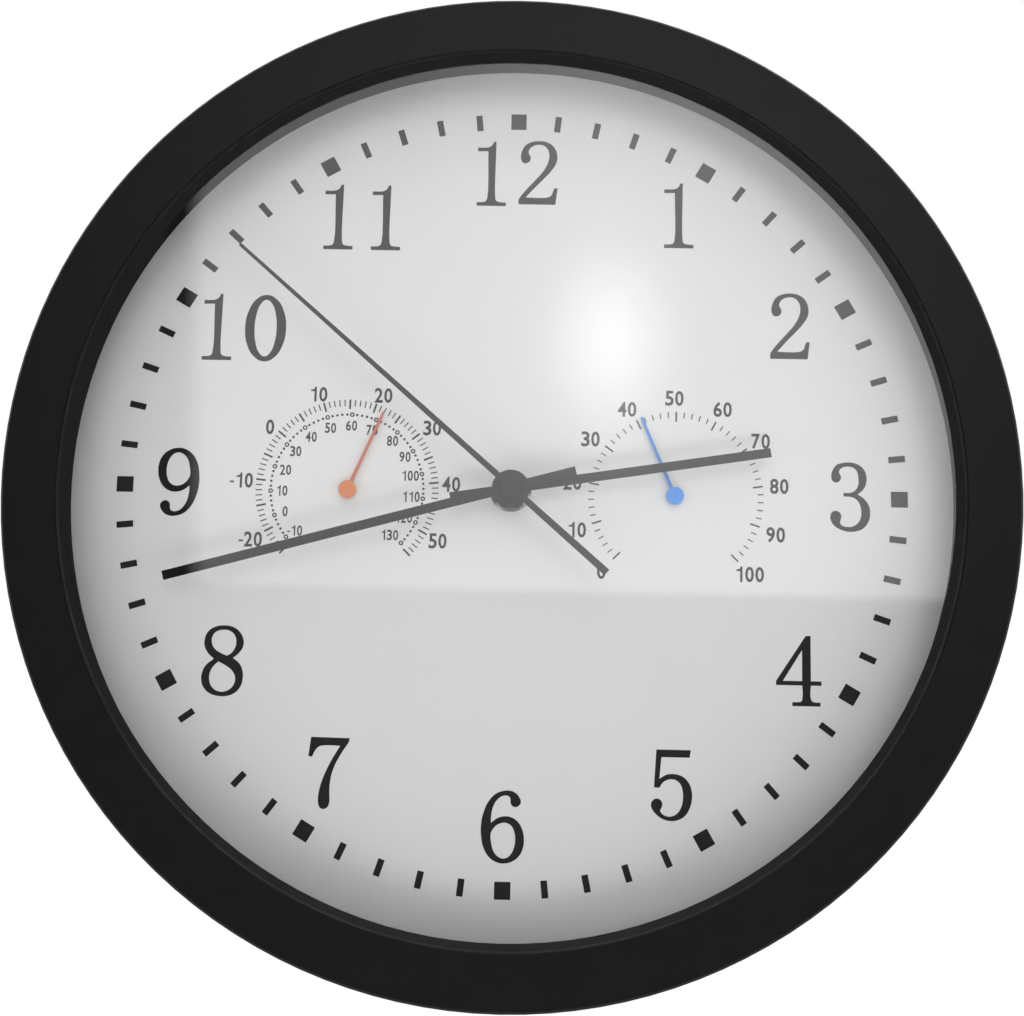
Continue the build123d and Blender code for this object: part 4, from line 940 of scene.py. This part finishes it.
cloth = Finish("veil_cloth")
left_edge = ((cloth.x + left_lean * cloth.z + left_place) / left_softness).clamped()
foot_edge = ((cloth.z - veil_foot) / foot_softness).maths("MINIMUM", 1.0)
right_edge = ((veil_right - cloth.x) / softness).maths("MINIMUM", 1.0)
top_edge = ((veil_top - cloth.z) / softness).maths("MINIMUM", 1.0)
edges = left_edge * foot_edge * right_edge * top_edge
spot_aside = ((cloth.x - spot_across) / spot_half_width).maths("POWER", 2.0)
spot_above = ((cloth.z - spot_rise) / spot_half_height).maths("POWER", 2.0)
right_side = ((cloth.x - right_start) / right_reach).clamped()
high_part = ((cloth.z - high_start) / high_reach).clamped()
cloth_level = (left_level + right_side * (right_gain + high_gain * high_part)) * edges
veil_level = cloth_level + spot_level * ((spot_aside + spot_above) * -1.0).maths("EXPONENT")
glow = cloth.add("ShaderNodeEmission", None, {"Color": white, "Strength": veil_level})
cloth_front = 1 - cloth.add("ShaderNodeNewGeometry", out="Backfacing")
open_back = cloth.add("ShaderNodeBsdfTransparent")
cloth_white = cloth.shaded(cloth.add("ShaderNodeMixShader", None, {0: cloth_front, 1: open_back, 2: glow}))
veil_points = [
    (veil_left, veil_distance, veil_foot), (veil_left, veil_distance, veil_top),
    (veil_right, veil_distance, veil_top), (veil_right, veil_distance, veil_foot),
]
veil_box = new_piece("veil_box", veil_points, [[0, 1, 2, 3]], cloth_white)
veil_box.visible_camera = False
print("soft box", round(veil_right - veil_left, 3), "m wide")

# %% [markdown]
# Wide lamps stand above, low on each side and near the floor: the low ones leave the foot of the dial in
# the shade of the rim, as the photograph shows. One more lamp behind the clock gives the ribs and cases at
# the back a light and a dark side. The pane would mirror the low lamps as hard white shapes, so they are
# hidden from glossy rays, and the lamp near the floor has a narrow beam that keeps its own plane from
# drawing a line there.
# %% Lamps
def wide_lamp(name, place, width, depth, energy, mirrored=True, spread=180):
    """A lamp with a wide soft face, turned towards the clock, that the pane may mirror or not."""
    data = bpy.data.lights.new(name, "AREA")
    data.shape, data.size, data.size_y, data.energy = "RECTANGLE", width, depth, energy
    data.spread = radians(spread)
    lamp = bpy.data.objects.new(name, data)
    scene.collection.objects.link(lamp)
    lamp.location = place
    lamp.rotation_euler = (-Vector(place)).to_track_quat("-Z", "Y").to_euler()
    lamp.visible_camera, lamp.visible_glossy = False, mirrored
    print(name, energy, "W")


wide_lamp("high_lamp", (0.0, -0.7, 1.1), width=1.2, depth=0.8, energy=2.8)
wide_lamp("left_lamp", (-0.9, -0.7, -0.3), width=0.7, depth=0.5, energy=1.5, mirrored=False)
wide_lamp("right_lamp", (0.9, -0.7, -0.3), width=0.7, depth=0.5, energy=1.6, mirrored=False)
wide_lamp("low_lamp", (0.0, -0.5, -0.42), width=0.9, depth=0.2, energy=0.36, mirrored=False, spread=96)
wide_lamp("back_lamp", (0.7, 1.6, 1.4), width=0.8, depth=0.8, energy=10.0)

# %% [markdown]
# The room around is the world's light, and it answers each kind of ray in its own way. The camera sees
# plain white. Dull surfaces get a soft even light. To shiny ones the room is bright behind the clock and
# dim on the camera's side, so that the lower part of the glass stays clear.
# %% Room
dull_level, dim_side, lowest_shine = 0.44, 0.08, 0.25
back_slope, back_middle, up_slope, up_middle = 2.5, 0.5, 0.6, 0.7
world = bpy.data.worlds.new("studio")
scene.world = world
world.use_nodes = True
world.node_tree.nodes.clear()
room = Nodes(world.node_tree)
rays = world.node_tree.nodes.new("ShaderNodeLightPath")
seen, glossy, passed = (
    Wire(room, rays.outputs[name]) for name in ("Is Camera Ray", "Is Glossy Ray", "Is Transmission Ray")
)
way = room.add("ShaderNodeTexCoord", out="Generated")
way_parts = room.add("ShaderNodeSeparateXYZ", None, {0: way}).socket.node
way_back, way_up = (Wire(room, way_parts.outputs[axis]) for axis in "YZ")
behind_clock = (way_back * back_slope + back_middle).clamped()
from_above = (way_up * up_slope + up_middle).clamped(lowest_shine)
shiny_level = dim_side + (1 - dim_side) * behind_clock * from_above
level = seen.maths("MAXIMUM", passed)
strength = level + (1 - level) * (glossy * shiny_level + (1 - glossy) * dull_level)
backdrop = room.add("ShaderNodeBackground", None, {"Color": white, "Strength": strength})
room_out = world.node_tree.nodes.new("ShaderNodeOutputWorld")
world.node_tree.links.new(backdrop.socket, room_out.inputs["Surface"])
print("room", len(world.node_tree.nodes), "nodes")

# %% [markdown]
# A pale floor below the clock, out of the photograph's view, throws soft light up under the rim. A round
# sheet shows no corners from any side.
# %% Floor
floor_radius, floor_level = 1000.0, -0.45
floor_paint = Finish("floor_paint")
dust = floor_paint.noise(40.0, 3.0)
floor_tone = floor_paint.colour(dust, (0.78, 0.78, 0.78), (0.82, 0.82, 0.82))
floor_white = floor_paint.surface(colour=floor_tone, roughness=0.8)
floor_outline, floor_faces = dot(floor_radius, 48)
floor_points = [(x * MM, y * MM, floor_level) for x, y in floor_outline]
floor = new_piece("floor", floor_points, floor_faces, floor_white)
print("floor at", floor_level, "m")
